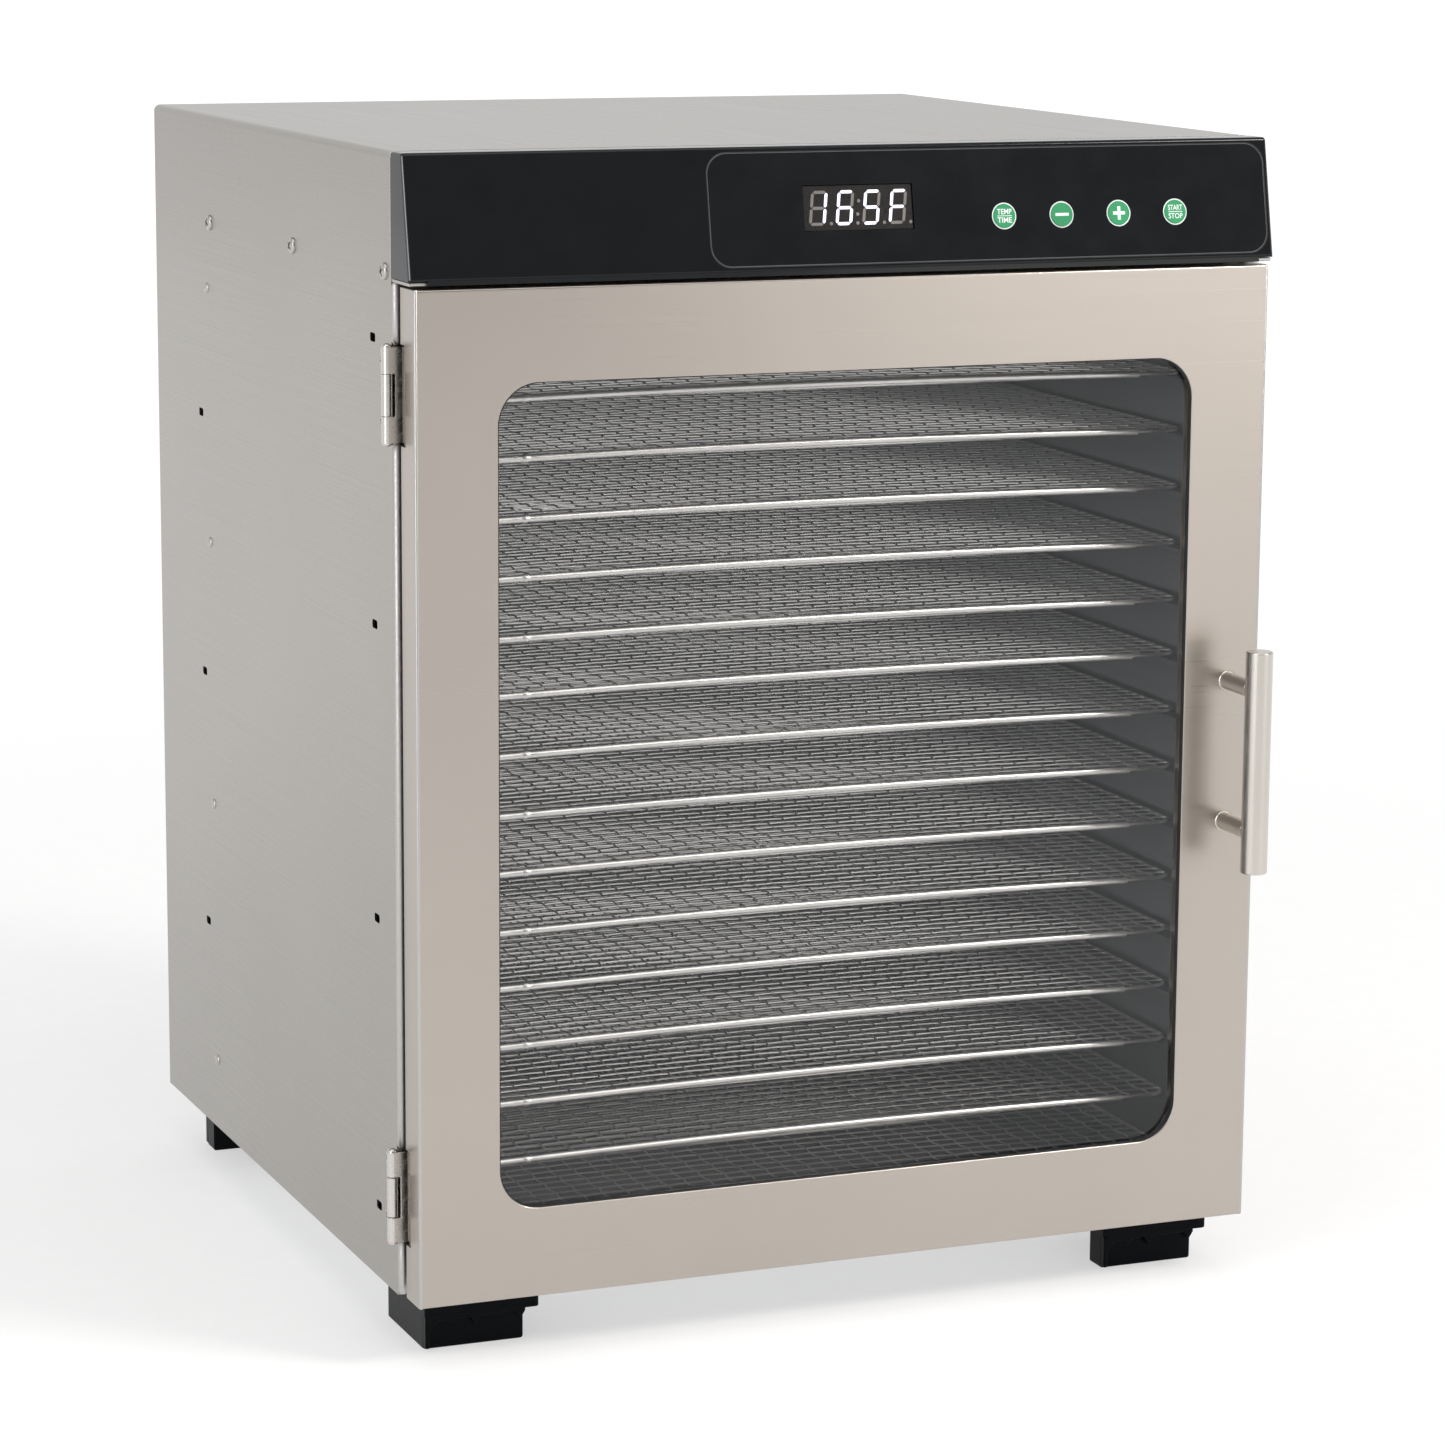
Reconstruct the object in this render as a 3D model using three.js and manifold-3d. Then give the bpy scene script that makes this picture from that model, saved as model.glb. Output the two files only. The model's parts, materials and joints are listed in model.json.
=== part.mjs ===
// Stainless cabinet food dehydrator: a folded steel cabinet on four feet, a control fascia across the
// top, sixteen wire trays in an air chamber with a fan and a ring heater behind it, and a glazed door
// on two butt hinges. Millimetres; X to the right, Y to the back, Z up.
// While the parts are laid out, Y = 0 is the cabinet's front plane and Z = 0 is the table.
import * as THREE from 'three';
import { mergeVertices } from 'three/addons/utils/BufferGeometryUtils.js';
import Module from 'manifold-3d';

const wasm = await Module();
wasm.setup();

// ---------------------------------------------------------------- driving dimensions
const fit = 0.3; // clearance between pieces that touch
const cutPast = 1; // how far a cutting shape runs past the faces it cuts
const rooted = 1; // how far a piece runs into the one it is joined to

const cabinetWidth = 400;
const cabinetDepth = 371;
const cabinetHeight = 490;
const cabinetCornerRadius = 3;
const sheet = 1.2; // stainless sheet of the cabinet, its liners and the door
const frontFlange = 12; // width of the shell's inward front return

const footHeight = 28;
const footWidth = 46;
const footDepth = 54;
const footPlate = 13; // thickness of a foot's top plate
const footOverhang = 6.5; // how far the top plate runs past the foot's right side
const footWall = 15; // thickness of the L-shaped foot wall
const footSideInset = 13;
const footFrontInset = 2;
const footRearInset = 19;

const fasciaHeight = 52;
const fasciaTopDepth = 14;
const fasciaBottomDepth = 24;
const fasciaWall = 2.5;
const shelfThickness = 1.5;
const shelfFrontInset = 2; // the shelf's front edge stays this far behind the fascia's
const shelfUpstand = 9;

const overlayWidth = 263.5;
const overlayInset = 2.6; // border of fascia left round the overlay
const overlayRadius = 9;
const overlayThickness = 0.8;
const overlayRecess = 1.2;
const displayWidth = 50.3;
const displayHeight = 19;
const displayFromOverlayEdge = 68.5; // overlay's left edge to the display's centre
const displayBelowFace = 0.9;
const buttonDiameter = 10.3;
const buttonTravel = 0.6;
const buttonProud = 0.4;
const buttonPitch = 27.5;
const buttonFromOverlayEdge = 136.3; // overlay's left edge to the first button's centre
const buttonDrop = 5.3; // below the middle of the face
const buttonFlange = 1.1; // thickness and overhang of the lip that keeps a button in
const boardDepth = 8; // control board, behind the face
const boardThickness = 1.6;
const boardMargin = 12;
const boardRim = 5;
const switchSize = 6;

const doorThickness = 18;
const doorSideInset = 2;
const doorTopGap = 1.4;
const doorRail = 39.6; // height of steel above and below the window
const doorStile = 36.5; // width of steel beside the window
const windowRadius = 18;
const glassThickness = 4;
const glassOverlap = 10;
const windowGasketThickness = 1.5;
const windowGasketLip = 1; // how far the gasket shows inside the window
const innerFrameStep = 5.5; // the inner frame's opening is this much larger than the window
const sealWidth = 6;
const sealOffset = 1.5; // from the chamber mouth to the seal
const sealRadius = 8;

const hingeBarrel = 5;
const hingePinDiameter = 2.4;
const hingeHeight = 40;
const hingeLeaf = 1.1;
const hingeLeafClearance = 1.5; // from a hinge leaf's end to the door seal
const hingeInset = 45; // hinge centre from the door's top and bottom edges
const hingeEndKnuckle = 11; // height of each of the two outer knuckles
const hingeBarrelGap = 0.5; // barrel to cabinet side
const hingeNotch = 6; // depth of the relief for the hinge in the door's side
const hingeNotchClearance = 1; // from the hinge's ends to the relief's ends

const handleHoleCentres = 64;
const handleLength = 100;
const handleBarDiameter = 12;
const handlePostDiameter = 8;
const handleProjection = 35;
const handleEdgeInset = 15; // handle centre from the door's right edge

const catchWidth = 7;
const catchHeight = 46;

const mouthMarginEnds = 11; // door's top and bottom edges to the chamber mouth
const mouthMarginSides = 19; // door's side edges to the chamber mouth
const plenumDepth = 62; // fan space between the baffle and the rear panel

const trayCount = 16;
const trayEndSpace = 14; // from the chamber's ceiling and floor to the end trays
const traySideClearance = 1.5;
const trayFrontInset = 8;
const trayRearClearance = 4;
const trayRod = 3.5;
const trayCornerRadius = 12;
const trayWire = 2;
const trayWireThickness = 1.2;
const trayCellsAcross = 8;
const trayCellsDeep = 2;
const ledgeReach = 7;
const ledgeHeight = 2.5;

const fanOpeningRadius = 95;
const fanRadius = 84;
const fanDepth = 20;
const fanHubRadius = 16;
const fanBladeCount = 5;
const fanBladeThickness = 1.5;
const fanBladePitch = 0.6; // blade angle, radians
const fanFromBaffle = 6;
const guardRod = 2.8;
const guardRingCount = 3;
const guardInnerRing = 20;
const guardOverlap = 6; // outer guard ring past the opening
const shaftDiameter = 6;
const shaftSocket = 16; // length of shaft inside the hub and inside the motor
const motorRadius = 31;
const motorLength = 24;
const motorGap = 4; // from the fan to the motor
const bracketWidth = 120;
const bracketHeight = 34;
const bracketFoot = 14;
const heaterRadius = 107;
const heaterTube = 7;
const heaterTerminalDiameter = 6;
const heaterTerminalSpacing = 26;
const heaterTerminalClearance = 3;

const returnSlotWidth = 7;
const returnSlotHeight = 32;
const returnSlotPitch = 46;
const returnSlotRows = 7;
const returnSlotEdge = 16; // slot centres from the chamber's side walls
const ventWidth = 34;
const ventHeight = 5;
const ventPitchAcross = 48;
const ventPitchUp = 14;
const ventColumns = 5;
const ventRows = 6;
const ventFromTop = 170;

const inletFlangeWidth = 50;
const inletFlangeHeight = 24;
const inletFlangeThickness = 2.7;
const inletBodyWidth = 28;
const inletBodyHeight = 20;
const inletBodyDepth = 24;
const inletSocketDepth = 16;
const inletWall = 2;
const inletPinWidth = 4;
const inletPinThickness = 2;
const inletPinLength = 12;
const inletPinSpacing = 7;
const inletFromRight = 60;
const inletFromBottom = 44;

// Straight segments in a quarter turn of an outline, and sides of a round bar.
const cornerSegments = 4;
const fineCornerSegments = 6;
const overlayCornerSegments = 8;
const buttonHoleSegments = 12;
const fanOpeningSegments = 24;
const terminalSides = 12;
const pinSides = 16;
const knuckleSides = 20;
const barSides = 24;
const largeSides = 32;

// ---------------------------------------------------------------- sizes that follow from them
const half = cabinetWidth / 2;
const cabinetBottom = footHeight;
const cabinetTop = footHeight + cabinetHeight;
const innerHalf = half - sheet - fit;
const panTop = cabinetBottom + sheet;

const shelfTop = cabinetTop - fasciaHeight - fit;
const shelfBottom = shelfTop - shelfThickness;

const doorGap = hingeBarrel + 2 * fit; // the hinges fill the gap behind the door
const doorBack = -doorGap;
const doorFront = doorBack - doorThickness;
const doorHalf = half - doorSideInset;
const doorBottom = cabinetBottom;
const doorTop = shelfBottom - doorTopGap;
const doorMiddle = (doorTop + doorBottom) / 2;
const windowWidth = 2 * (doorHalf - doorStile);
const windowHeight = doorTop - doorBottom - 2 * doorRail;

const mouthHalf = doorHalf - mouthMarginSides;
const chamberCeiling = doorTop - mouthMarginEnds;
const chamberFloor = doorBottom + mouthMarginEnds;
const chamberMiddle = (chamberCeiling + chamberFloor) / 2;
const chamberHeight = chamberCeiling - chamberFloor;
const frameFront = sheet + fit;
const chamberFront = frameFront + sheet + fit;
const rearPanelFront = cabinetDepth - fit - sheet;
const baffleBack = rearPanelFront - plenumDepth;
const baffleFront = baffleBack - sheet;
const chamberBack = baffleFront - fit;

const trayWidth = 2 * (mouthHalf - traySideClearance);
const trayBack = chamberBack - trayRearClearance;
const trayDepth = trayBack - trayFrontInset;
const trayPitch = (chamberHeight - 2 * trayEndSpace) / (trayCount - 1);

const hingeAxisX = -half - hingeBarrelGap - hingeBarrel / 2;
const hingeAxisY = -doorGap / 2;
const sealOuterHalf = mouthHalf + sealOffset + sealWidth;

const fasciaTilt = Math.atan((fasciaBottomDepth - fasciaTopDepth) / fasciaHeight);
const faceHeight = fasciaHeight / Math.cos(fasciaTilt);
const overlayRight = half - overlayInset;
const overlayLeft = overlayRight - overlayWidth;
const overlayHeight = faceHeight - 2 * overlayInset;
const displayCentre = overlayLeft + displayFromOverlayEdge;
const buttonNames = ['button_mode', 'button_minus', 'button_plus', 'button_start_stop'];
const buttonLength = boardDepth / 2;

const fanFront = baffleBack + fanFromBaffle;
const fanBack = fanFront + fanDepth;
const motorFront = fanBack + motorGap;
const motorBack = motorFront + motorLength;

// ---------------------------------------------------------------- materials
const finishes = {
  stainless: { color: 0xb4afa9, metalness: 1, roughness: 0.34 },
  polished: { color: 0xc8c4be, metalness: 1, roughness: 0.16 },
  liner: { color: 0x8b9095, metalness: 1, roughness: 0.4 },
  fascia: { color: 0x1b1c1f, metalness: 0, roughness: 0.12 },
  overlay: { color: 0x242628, metalness: 0, roughness: 0.2 },
  display: { color: 0x18140f, metalness: 0, roughness: 0.25 },
  green: { color: 0x168c57, metalness: 0, roughness: 0.35 },
  black: { color: 0x0d0f12, metalness: 0, roughness: 0.55 },
  rubber: { color: 0x17181a, metalness: 0, roughness: 0.8 },
  glass: { color: 0xe6f0ee, metalness: 0, roughness: 0.03, transparent: true, opacity: 0.25 },
  board: { color: 0x1f5a36, metalness: 0, roughness: 0.5 },
  galvanised: { color: 0x9a9da0, metalness: 1, roughness: 0.45 },
  element: { color: 0x4b4742, metalness: 1, roughness: 0.5 },
  magnet: { color: 0x3a3b3d, metalness: 0.6, roughness: 0.5 },
};

function material(finish) {
  return new THREE.MeshStandardMaterial(finishes[finish]);
}

// ---------------------------------------------------------------- shape helpers
function block([x0, x1], [y0, y1], [z0, z1]) {
  const geometry = new THREE.BoxGeometry(x1 - x0, y1 - y0, z1 - z0);
  return geometry.translate((x0 + x1) / 2, (y0 + y1) / 2, (z0 + z1) / 2);
}

function rectangle([x0, x1], [y0, y1], radius = 0, Kind = THREE.Shape) {
  const outline = new Kind();
  if (radius === 0) {
    outline.moveTo(x0, y0).lineTo(x1, y0).lineTo(x1, y1).lineTo(x0, y1).closePath();
    return outline;
  }
  outline.absarc(x1 - radius, y0 + radius, radius, -Math.PI / 2, 0);
  outline.absarc(x1 - radius, y1 - radius, radius, 0, Math.PI / 2);
  outline.absarc(x0 + radius, y1 - radius, radius, Math.PI / 2, Math.PI);
  outline.absarc(x0 + radius, y0 + radius, radius, Math.PI, 1.5 * Math.PI);
  return outline;
}

// A rectangle centred on (x, y).
function centredRectangle(x, y, width, height, radius, Kind) {
  const across = [x - width / 2, x + width / 2];
  const up = [y - height / 2, y + height / 2];
  return rectangle(across, up, radius, Kind);
}

function circle(x, y, radius, Kind = THREE.Shape) {
  const outline = new Kind();
  outline.absarc(x, y, radius, 0, 2 * Math.PI);
  return outline;
}

function polygon(points) {
  return new THREE.Shape(points.map(([x, y]) => new THREE.Vector2(x, y)));
}

function extrude(shape, [z0, z1], curveSegments = cornerSegments) {
  const settings = { depth: z1 - z0, bevelEnabled: false, curveSegments };
  return new THREE.ExtrudeGeometry(shape, settings).translate(0, 0, z0);
}

// The shape is drawn in X and Z and runs from one Y to the other.
function extrudeAlongY(shape, [y0, y1], curveSegments) {
  const geometry = extrude(shape, [0, y1 - y0], curveSegments);
  return geometry.rotateX(Math.PI / 2).translate(0, y1, 0);
}

// The shape is drawn in Y and Z and runs from one X to the other.
function extrudeAlongX(shape, [x0, x1], curveSegments) {
  const turned = new THREE.Matrix4().makeBasis(
    new THREE.Vector3(0, 1, 0),
    new THREE.Vector3(0, 0, 1),
    new THREE.Vector3(1, 0, 0),
  );
  return extrude(shape, [x0, x1], curveSegments).applyMatrix4(turned);
}

// A round bar along Y.
function rodAlongY(x, z, radius, [y0, y1], segments = barSides) {
  const geometry = new THREE.CylinderGeometry(radius, radius, y1 - y0, segments);
  return geometry.translate(x, (y0 + y1) / 2, z);
}

// A round bar along Z.
function rodAlongZ(x, y, radius, [z0, z1], segments = barSides) {
  const geometry = new THREE.CylinderGeometry(radius, radius, z1 - z0, segments);
  return geometry.rotateX(Math.PI / 2).translate(x, y, (z0 + z1) / 2);
}

function toManifold(geometry) {
  const bare = geometry.clone();
  bare.deleteAttribute('normal');
  bare.deleteAttribute('uv');
  const welded = mergeVertices(bare, 1e-4);
  return new wasm.Manifold(new wasm.Mesh({
    numProp: 3,
    vertProperties: new Float32Array(welded.attributes.position.array),
    triVerts: new Uint32Array(welded.index.array),
  }));
}

function toGeometry(manifold) {
  const mesh = manifold.getMesh();
  const geometry = new THREE.BufferGeometry();
  geometry.setAttribute('position', new THREE.BufferAttribute(mesh.vertProperties, 3));
  geometry.setIndex(new THREE.BufferAttribute(mesh.triVerts, 1));
  geometry.computeVertexNormals();
  return geometry;
}

function join(...pieces) {
  return toGeometry(wasm.Manifold.union(pieces.map(toManifold)));
}

function cut(body, ...tools) {
  return toGeometry(toManifold(body).subtract(wasm.Manifold.union(tools.map(toManifold))));
}

// A plate drawn in X and Z, with each hole cut right through it.
function perforated(outline, holes, [y0, y1], curveSegments) {
  const through = [y0 - cutPast, y1 + cutPast];
  const tools = holes.map((hole) => extrudeAlongY(hole, through, curveSegments));
  return cut(extrudeAlongY(outline, [y0, y1], curveSegments), ...tools);
}

function named(name, geometry, finish) {
  const mesh = new THREE.Mesh(geometry, material(finish));
  mesh.name = name;
  return mesh;
}

// A flat ring in the door's plane: a rounded rectangle round the window's middle with an opening.
function doorRing(outer, inner, [y0, y1]) {
  const shape = centredRectangle(0, doorMiddle, outer.width, outer.height, outer.radius);
  const opening = centredRectangle(0, doorMiddle, inner.width, inner.height, inner.radius, THREE.Path);
  shape.holes.push(opening);
  return extrudeAlongY(shape, [y0, y1], fineCornerSegments);
}

// ---------------------------------------------------------------- cabinet
function outerShell() {
  const outline = rectangle([-half, half], [cabinetBottom, cabinetTop], cabinetCornerRadius);
  const body = extrudeAlongY(outline, [0, cabinetDepth]);
  const hollow = block(
    [-half + sheet, half - sheet],
    [sheet, cabinetDepth + cutPast],
    [cabinetBottom - cutPast, cabinetTop - sheet],
  );
  const mouth = block(
    [-half + frontFlange, half - frontFlange],
    [-cutPast, sheet + cutPast],
    [cabinetBottom - cutPast, cabinetTop - frontFlange],
  );
  const squareBottom = block(
    [-half, half], [0, cabinetDepth], [cabinetBottom, cabinetBottom + frontFlange]);
  return cut(join(body, squareBottom), hollow, mouth);
}

function basePan() {
  const floorSpan = [frameFront, rearPanelFront - fit];
  const floor = block([-innerHalf, innerHalf], floorSpan, [cabinetBottom, panTop]);
  const upstandSpan = [chamberFront, baffleFront - fit];
  const upstand = (x0, x1) => block([x0, x1], upstandSpan, [cabinetBottom, chamberFloor]);
  return join(floor, upstand(-innerHalf, -innerHalf + sheet), upstand(innerHalf - sheet, innerHalf));
}

function rearPanel() {
  const outline = rectangle([-innerHalf, innerHalf], [panTop + fit, cabinetTop - sheet - fit]);
  const inletX = half - inletFromRight;
  const inletZ = cabinetBottom + inletFromBottom;
  const holes = [centredRectangle(inletX, inletZ, inletBodyWidth + 2 * fit, inletBodyHeight + 2 * fit)];
  for (let column = 0; column < ventColumns; column += 1) {
    const x = (column - (ventColumns - 1) / 2) * ventPitchAcross;
    for (let row = 0; row < ventRows; row += 1) {
      const z = cabinetTop - ventFromTop + (row - (ventRows - 1) / 2) * ventPitchUp;
      holes.push(centredRectangle(x, z, ventWidth, ventHeight));
    }
  }
  return perforated(outline, holes, [rearPanelFront, rearPanelFront + sheet]);
}

function frontFrame() {
  const outline = rectangle([-innerHalf, innerHalf], [panTop + fit, shelfBottom - fit]);
  const mouth = rectangle([-mouthHalf, mouthHalf], [chamberFloor, chamberCeiling]);
  return perforated(outline, [mouth], [frameFront, frameFront + sheet]);
}

function controlShelf() {
  const front = -fasciaBottomDepth + shelfFrontInset;
  const frontHalf = half - fit;
  const neckHalf = half - frontFlange - fit;
  const outline = polygon([
    [-frontHalf, front], [frontHalf, front], [frontHalf, -fit], [neckHalf, -fit],
    [neckHalf, frameFront], [innerHalf, frameFront], [innerHalf, rearPanelFront - fit],
    [-innerHalf, rearPanelFront - fit], [-innerHalf, frameFront], [-neckHalf, frameFront],
    [-neckHalf, -fit], [-frontHalf, -fit],
  ]);
  const plate = extrude(outline, [shelfBottom, shelfTop]);
  const upstand = (x0, x1) => block(
    [x0, x1], [frameFront, rearPanelFront - fit], [shelfBottom, shelfTop + shelfUpstand]);
  return join(plate, upstand(-innerHalf, -innerHalf + sheet), upstand(innerHalf - sheet, innerHalf));
}

function trayCentre(level) {
  return chamberCeiling - trayEndSpace - level * trayPitch;
}

// A chamber side wall with a ledge under every tray; side is -1 for the left and 1 for the right.
function sideLiner(side) {
  const bottom = chamberFloor + fit;
  const top = chamberCeiling - fit;
  const points = [[mouthHalf + sheet, bottom], [mouthHalf + sheet, top], [mouthHalf, top]];
  for (let level = 0; level < trayCount; level += 1) {
    const ledgeTop = trayCentre(level) - trayRod / 2 - fit;
    points.push([mouthHalf, ledgeTop], [mouthHalf - ledgeReach, ledgeTop]);
    points.push([mouthHalf - ledgeReach, ledgeTop - ledgeHeight], [mouthHalf, ledgeTop - ledgeHeight]);
  }
  points.push([mouthHalf, bottom]);
  const outline = polygon(points.map(([x, z]) => [side * x, z]));
  return extrudeAlongY(outline, [chamberFront, chamberBack]);
}

function chamberPlate([z0, z1]) {
  return block([-mouthHalf - sheet, mouthHalf + sheet], [chamberFront, chamberBack], [z0, z1]);
}

function fanBaffle() {
  const outline = rectangle([-innerHalf, innerHalf], [panTop + fit, shelfBottom - fit]);
  const holes = [circle(0, chamberMiddle, fanOpeningRadius)];
  for (const side of [-1, 1]) {
    for (let row = 0; row < returnSlotRows; row += 1) {
      const x = side * (mouthHalf - returnSlotEdge);
      const z = chamberMiddle + (row - (returnSlotRows - 1) / 2) * returnSlotPitch;
      holes.push(centredRectangle(x, z, returnSlotWidth, returnSlotHeight));
    }
  }
  return perforated(outline, holes, [baffleFront, baffleBack], fanOpeningSegments);
}

// A foot: a top plate over an L-shaped wall. cornerX and cornerY are -1 or 1, the L's outer corner.
function foot(cornerX, cornerY) {
  const top = footHeight - fit;
  const plateBottom = top - footPlate;
  const plate = block([0, footWidth + footOverhang], [0, footDepth], [plateBottom, top]);
  const sideWall = cornerX < 0 ? [0, footWall] : [footWidth - footWall, footWidth];
  const endWall = cornerY < 0 ? [0, footWall] : [footDepth - footWall, footDepth];
  const side = block(sideWall, [0, footDepth], [0, plateBottom + rooted]);
  const end = block([0, footWidth], endWall, [0, plateBottom + rooted]);
  return join(plate, side, end);
}

function feet() {
  const leftX = -half + footSideInset;
  const rightX = half - footSideInset - footWidth;
  const rearY = cabinetDepth - footRearInset - footDepth;
  const places = [
    ['foot_front_left', leftX, footFrontInset, -1, -1],
    ['foot_front_right', rightX, footFrontInset, 1, -1],
    ['foot_rear_left', leftX, rearY, 1, 1],
    ['foot_rear_right', rightX, rearY, -1, 1],
  ];
  return places.map(([name, x, y, cornerX, cornerY]) => {
    const mesh = named(name, foot(cornerX, cornerY), 'black');
    mesh.position.set(x, y, 0);
    return mesh;
  });
}

// ---------------------------------------------------------------- trays
// A tray, its middle at Z = 0 and its front edge at Y = 0: a rim bar and the coarse grid of its wires.
function tray() {
  const across = trayWidth / 2;
  const thickness = [-trayRod / 2, trayRod / 2];
  const rim = extrude(rectangle([-across, across], [0, trayDepth], trayCornerRadius), thickness);
  const inside = rectangle(
    [-across + trayRod, across - trayRod], [trayRod, trayDepth - trayRod], trayCornerRadius - trayRod);
  const web = [-trayWireThickness / 2, trayWireThickness / 2];
  const above = extrude(inside, [web[1], trayRod]);
  const below = extrude(inside, [-trayRod, web[0]]);
  const cellWidth = (trayWidth - 2 * trayRod) / trayCellsAcross;
  const cellDepth = (trayDepth - 2 * trayRod) / trayCellsDeep;
  const cells = [];
  for (let column = 0; column < trayCellsAcross; column += 1) {
    for (let row = 0; row < trayCellsDeep; row += 1) {
      const x = -across + trayRod + (column + 0.5) * cellWidth;
      const y = trayRod + (row + 0.5) * cellDepth;
      cells.push(extrude(centredRectangle(x, y, cellWidth - trayWire, cellDepth - trayWire), thickness));
    }
  }
  return cut(rim, above, below, ...cells);
}

function trays() {
  const rack = [];
  for (let level = 0; level < trayCount; level += 1) {
    const mesh = named(`tray_${String(level + 1).padStart(2, '0')}`, tray(), 'polished');
    mesh.position.set(0, trayFrontInset, trayCentre(level));
    rack.push(mesh);
  }
  return rack;
}

// ---------------------------------------------------------------- fan and heater
// A ring round the fan's axis: tube is the radius of its section, which has the given number of sides.
function ringAlongY(radius, tube, y, sides) {
  const profile = [];
  for (let side = 0; side <= sides; side += 1) {
    const angle = (2 * Math.PI * (side + 0.5)) / sides;
    profile.push(new THREE.Vector2(radius + tube * Math.cos(angle), tube * Math.sin(angle)));
  }
  return new THREE.LatheGeometry(profile, largeSides).translate(0, y, chamberMiddle);
}

function fanGuard() {
  const y = baffleBack + fit + guardRod / 2;
  const outer = fanOpeningRadius + guardOverlap;
  const step = (outer - guardInnerRing) / (guardRingCount - 1);
  const pieces = [];
  for (let ring = 0; ring < guardRingCount; ring += 1) {
    pieces.push(ringAlongY(guardInnerRing + ring * step, guardRod / Math.SQRT2, y, 4));
  }
  const bar = [-guardRod / 2, guardRod / 2];
  const along = [y - guardRod / 2, y + guardRod / 2];
  pieces.push(block([-outer, outer], along, bar.map((z) => chamberMiddle + z)));
  pieces.push(block(bar, along, [chamberMiddle - outer, chamberMiddle + outer]));
  return join(...pieces);
}

function fanBlade() {
  const middle = (fanFront + fanBack) / 2;
  const pieces = [rodAlongY(0, chamberMiddle, fanHubRadius, [fanFront, fanBack])];
  const chord = (fanDepth - fanBladeThickness) / Math.sin(fanBladePitch);
  for (let blade = 0; blade < fanBladeCount; blade += 1) {
    const turn = (2 * Math.PI * blade) / fanBladeCount;
    const root = fanHubRadius - rooted;
    const geometry = new THREE.BoxGeometry(fanRadius - root, fanBladeThickness, chord);
    geometry.translate((fanRadius + root) / 2, 0, 0);
    geometry.rotateX(fanBladePitch);
    geometry.rotateY(turn);
    pieces.push(geometry.translate(0, middle, chamberMiddle));
  }
  const socket = rodAlongY(
    0, chamberMiddle, shaftDiameter / 2 + fit, [fanBack - shaftSocket, fanBack + cutPast]);
  return cut(join(...pieces), socket);
}

function motorShaft() {
  const along = [fanBack - shaftSocket + fit, motorFront + shaftSocket - fit];
  return rodAlongY(0, chamberMiddle, shaftDiameter / 2, along, pinSides);
}

function fanMotor() {
  const body = rodAlongY(0, chamberMiddle, motorRadius, [motorFront, motorBack], largeSides);
  const socket = rodAlongY(
    0, chamberMiddle, shaftDiameter / 2 + fit, [motorFront - cutPast, motorFront + shaftSocket]);
  return cut(body, socket);
}

function motorBracket() {
  const front = motorBack + fit;
  const back = rearPanelFront - fit;
  const outer = bracketWidth / 2;
  const inner = outer - bracketFoot;
  const outline = polygon([
    [-outer, back], [-outer, back - sheet], [-inner - sheet, back - sheet], [-inner - sheet, front],
    [inner + sheet, front], [inner + sheet, back - sheet], [outer, back - sheet], [outer, back],
    [inner, back], [inner, front + sheet], [-inner, front + sheet], [-inner, back],
  ]);
  return extrude(outline, [chamberMiddle - bracketHeight / 2, chamberMiddle + bracketHeight / 2]);
}

function heatingElement() {
  const y = (fanFront + fanBack) / 2;
  const ring = ringAlongY(heaterRadius, heaterTube / 2, y, 6);
  const end = rearPanelFront - heaterTerminalClearance;
  const terminals = [-1, 1].map((side) => {
    const x = (side * heaterTerminalSpacing) / 2;
    const z = chamberMiddle - Math.sqrt(heaterRadius ** 2 - x ** 2);
    return rodAlongY(x, z, heaterTerminalDiameter / 2, [y, end], terminalSides);
  });
  return join(ring, ...terminals);
}

function powerInlet() {
  const x = half - inletFromRight;
  const z = cabinetBottom + inletFromBottom;
  const face = rearPanelFront + sheet + fit;
  const back = face + inletFlangeThickness;
  const across = (width) => [x - width / 2, x + width / 2];
  const up = (height) => [z - height / 2, z + height / 2];
  const flange = block(across(inletFlangeWidth), [face, back], up(inletFlangeHeight));
  const bodySpan = [face - inletBodyDepth, face + rooted];
  const body = block(across(inletBodyWidth), bodySpan, up(inletBodyHeight));
  const socket = block(
    across(inletBodyWidth - 2 * inletWall),
    [back - inletSocketDepth, back + cutPast],
    up(inletBodyHeight - 2 * inletWall),
  );
  const root = back - inletSocketDepth;
  const pins = [-1, 0, 1].map((place) => {
    const pinX = x + place * inletPinSpacing;
    return block(
      [pinX - inletPinThickness / 2, pinX + inletPinThickness / 2],
      [root - rooted, root + inletPinLength],
      up(inletPinWidth),
    );
  });
  return join(cut(join(flange, body), socket), ...pins);
}

// ---------------------------------------------------------------- door
function doorFrame() {
  const across = [-doorHalf, doorHalf];
  const front = rectangle(across, [doorBottom, doorTop]);
  front.holes.push(centredRectangle(0, doorMiddle, windowWidth, windowHeight, windowRadius, THREE.Path));
  const face = extrudeAlongY(front, [doorFront, doorFront + sheet], fineCornerSegments);
  const walls = rectangle(across, [doorBottom, doorTop]);
  walls.holes.push(rectangle(
    [-doorHalf + sheet, doorHalf - sheet], [doorBottom + sheet, doorTop - sheet], 0, THREE.Path));
  const notches = hingeCentres().map((z) => block(
    [-doorHalf - cutPast, -doorHalf + sheet + cutPast],
    [doorBack - hingeNotch, doorBack + cutPast],
    [z - hingeHeight / 2 - hingeNotchClearance, z + hingeHeight / 2 + hingeNotchClearance],
  ));
  return cut(join(face, extrudeAlongY(walls, [doorFront, doorBack])), ...notches);
}

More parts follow.
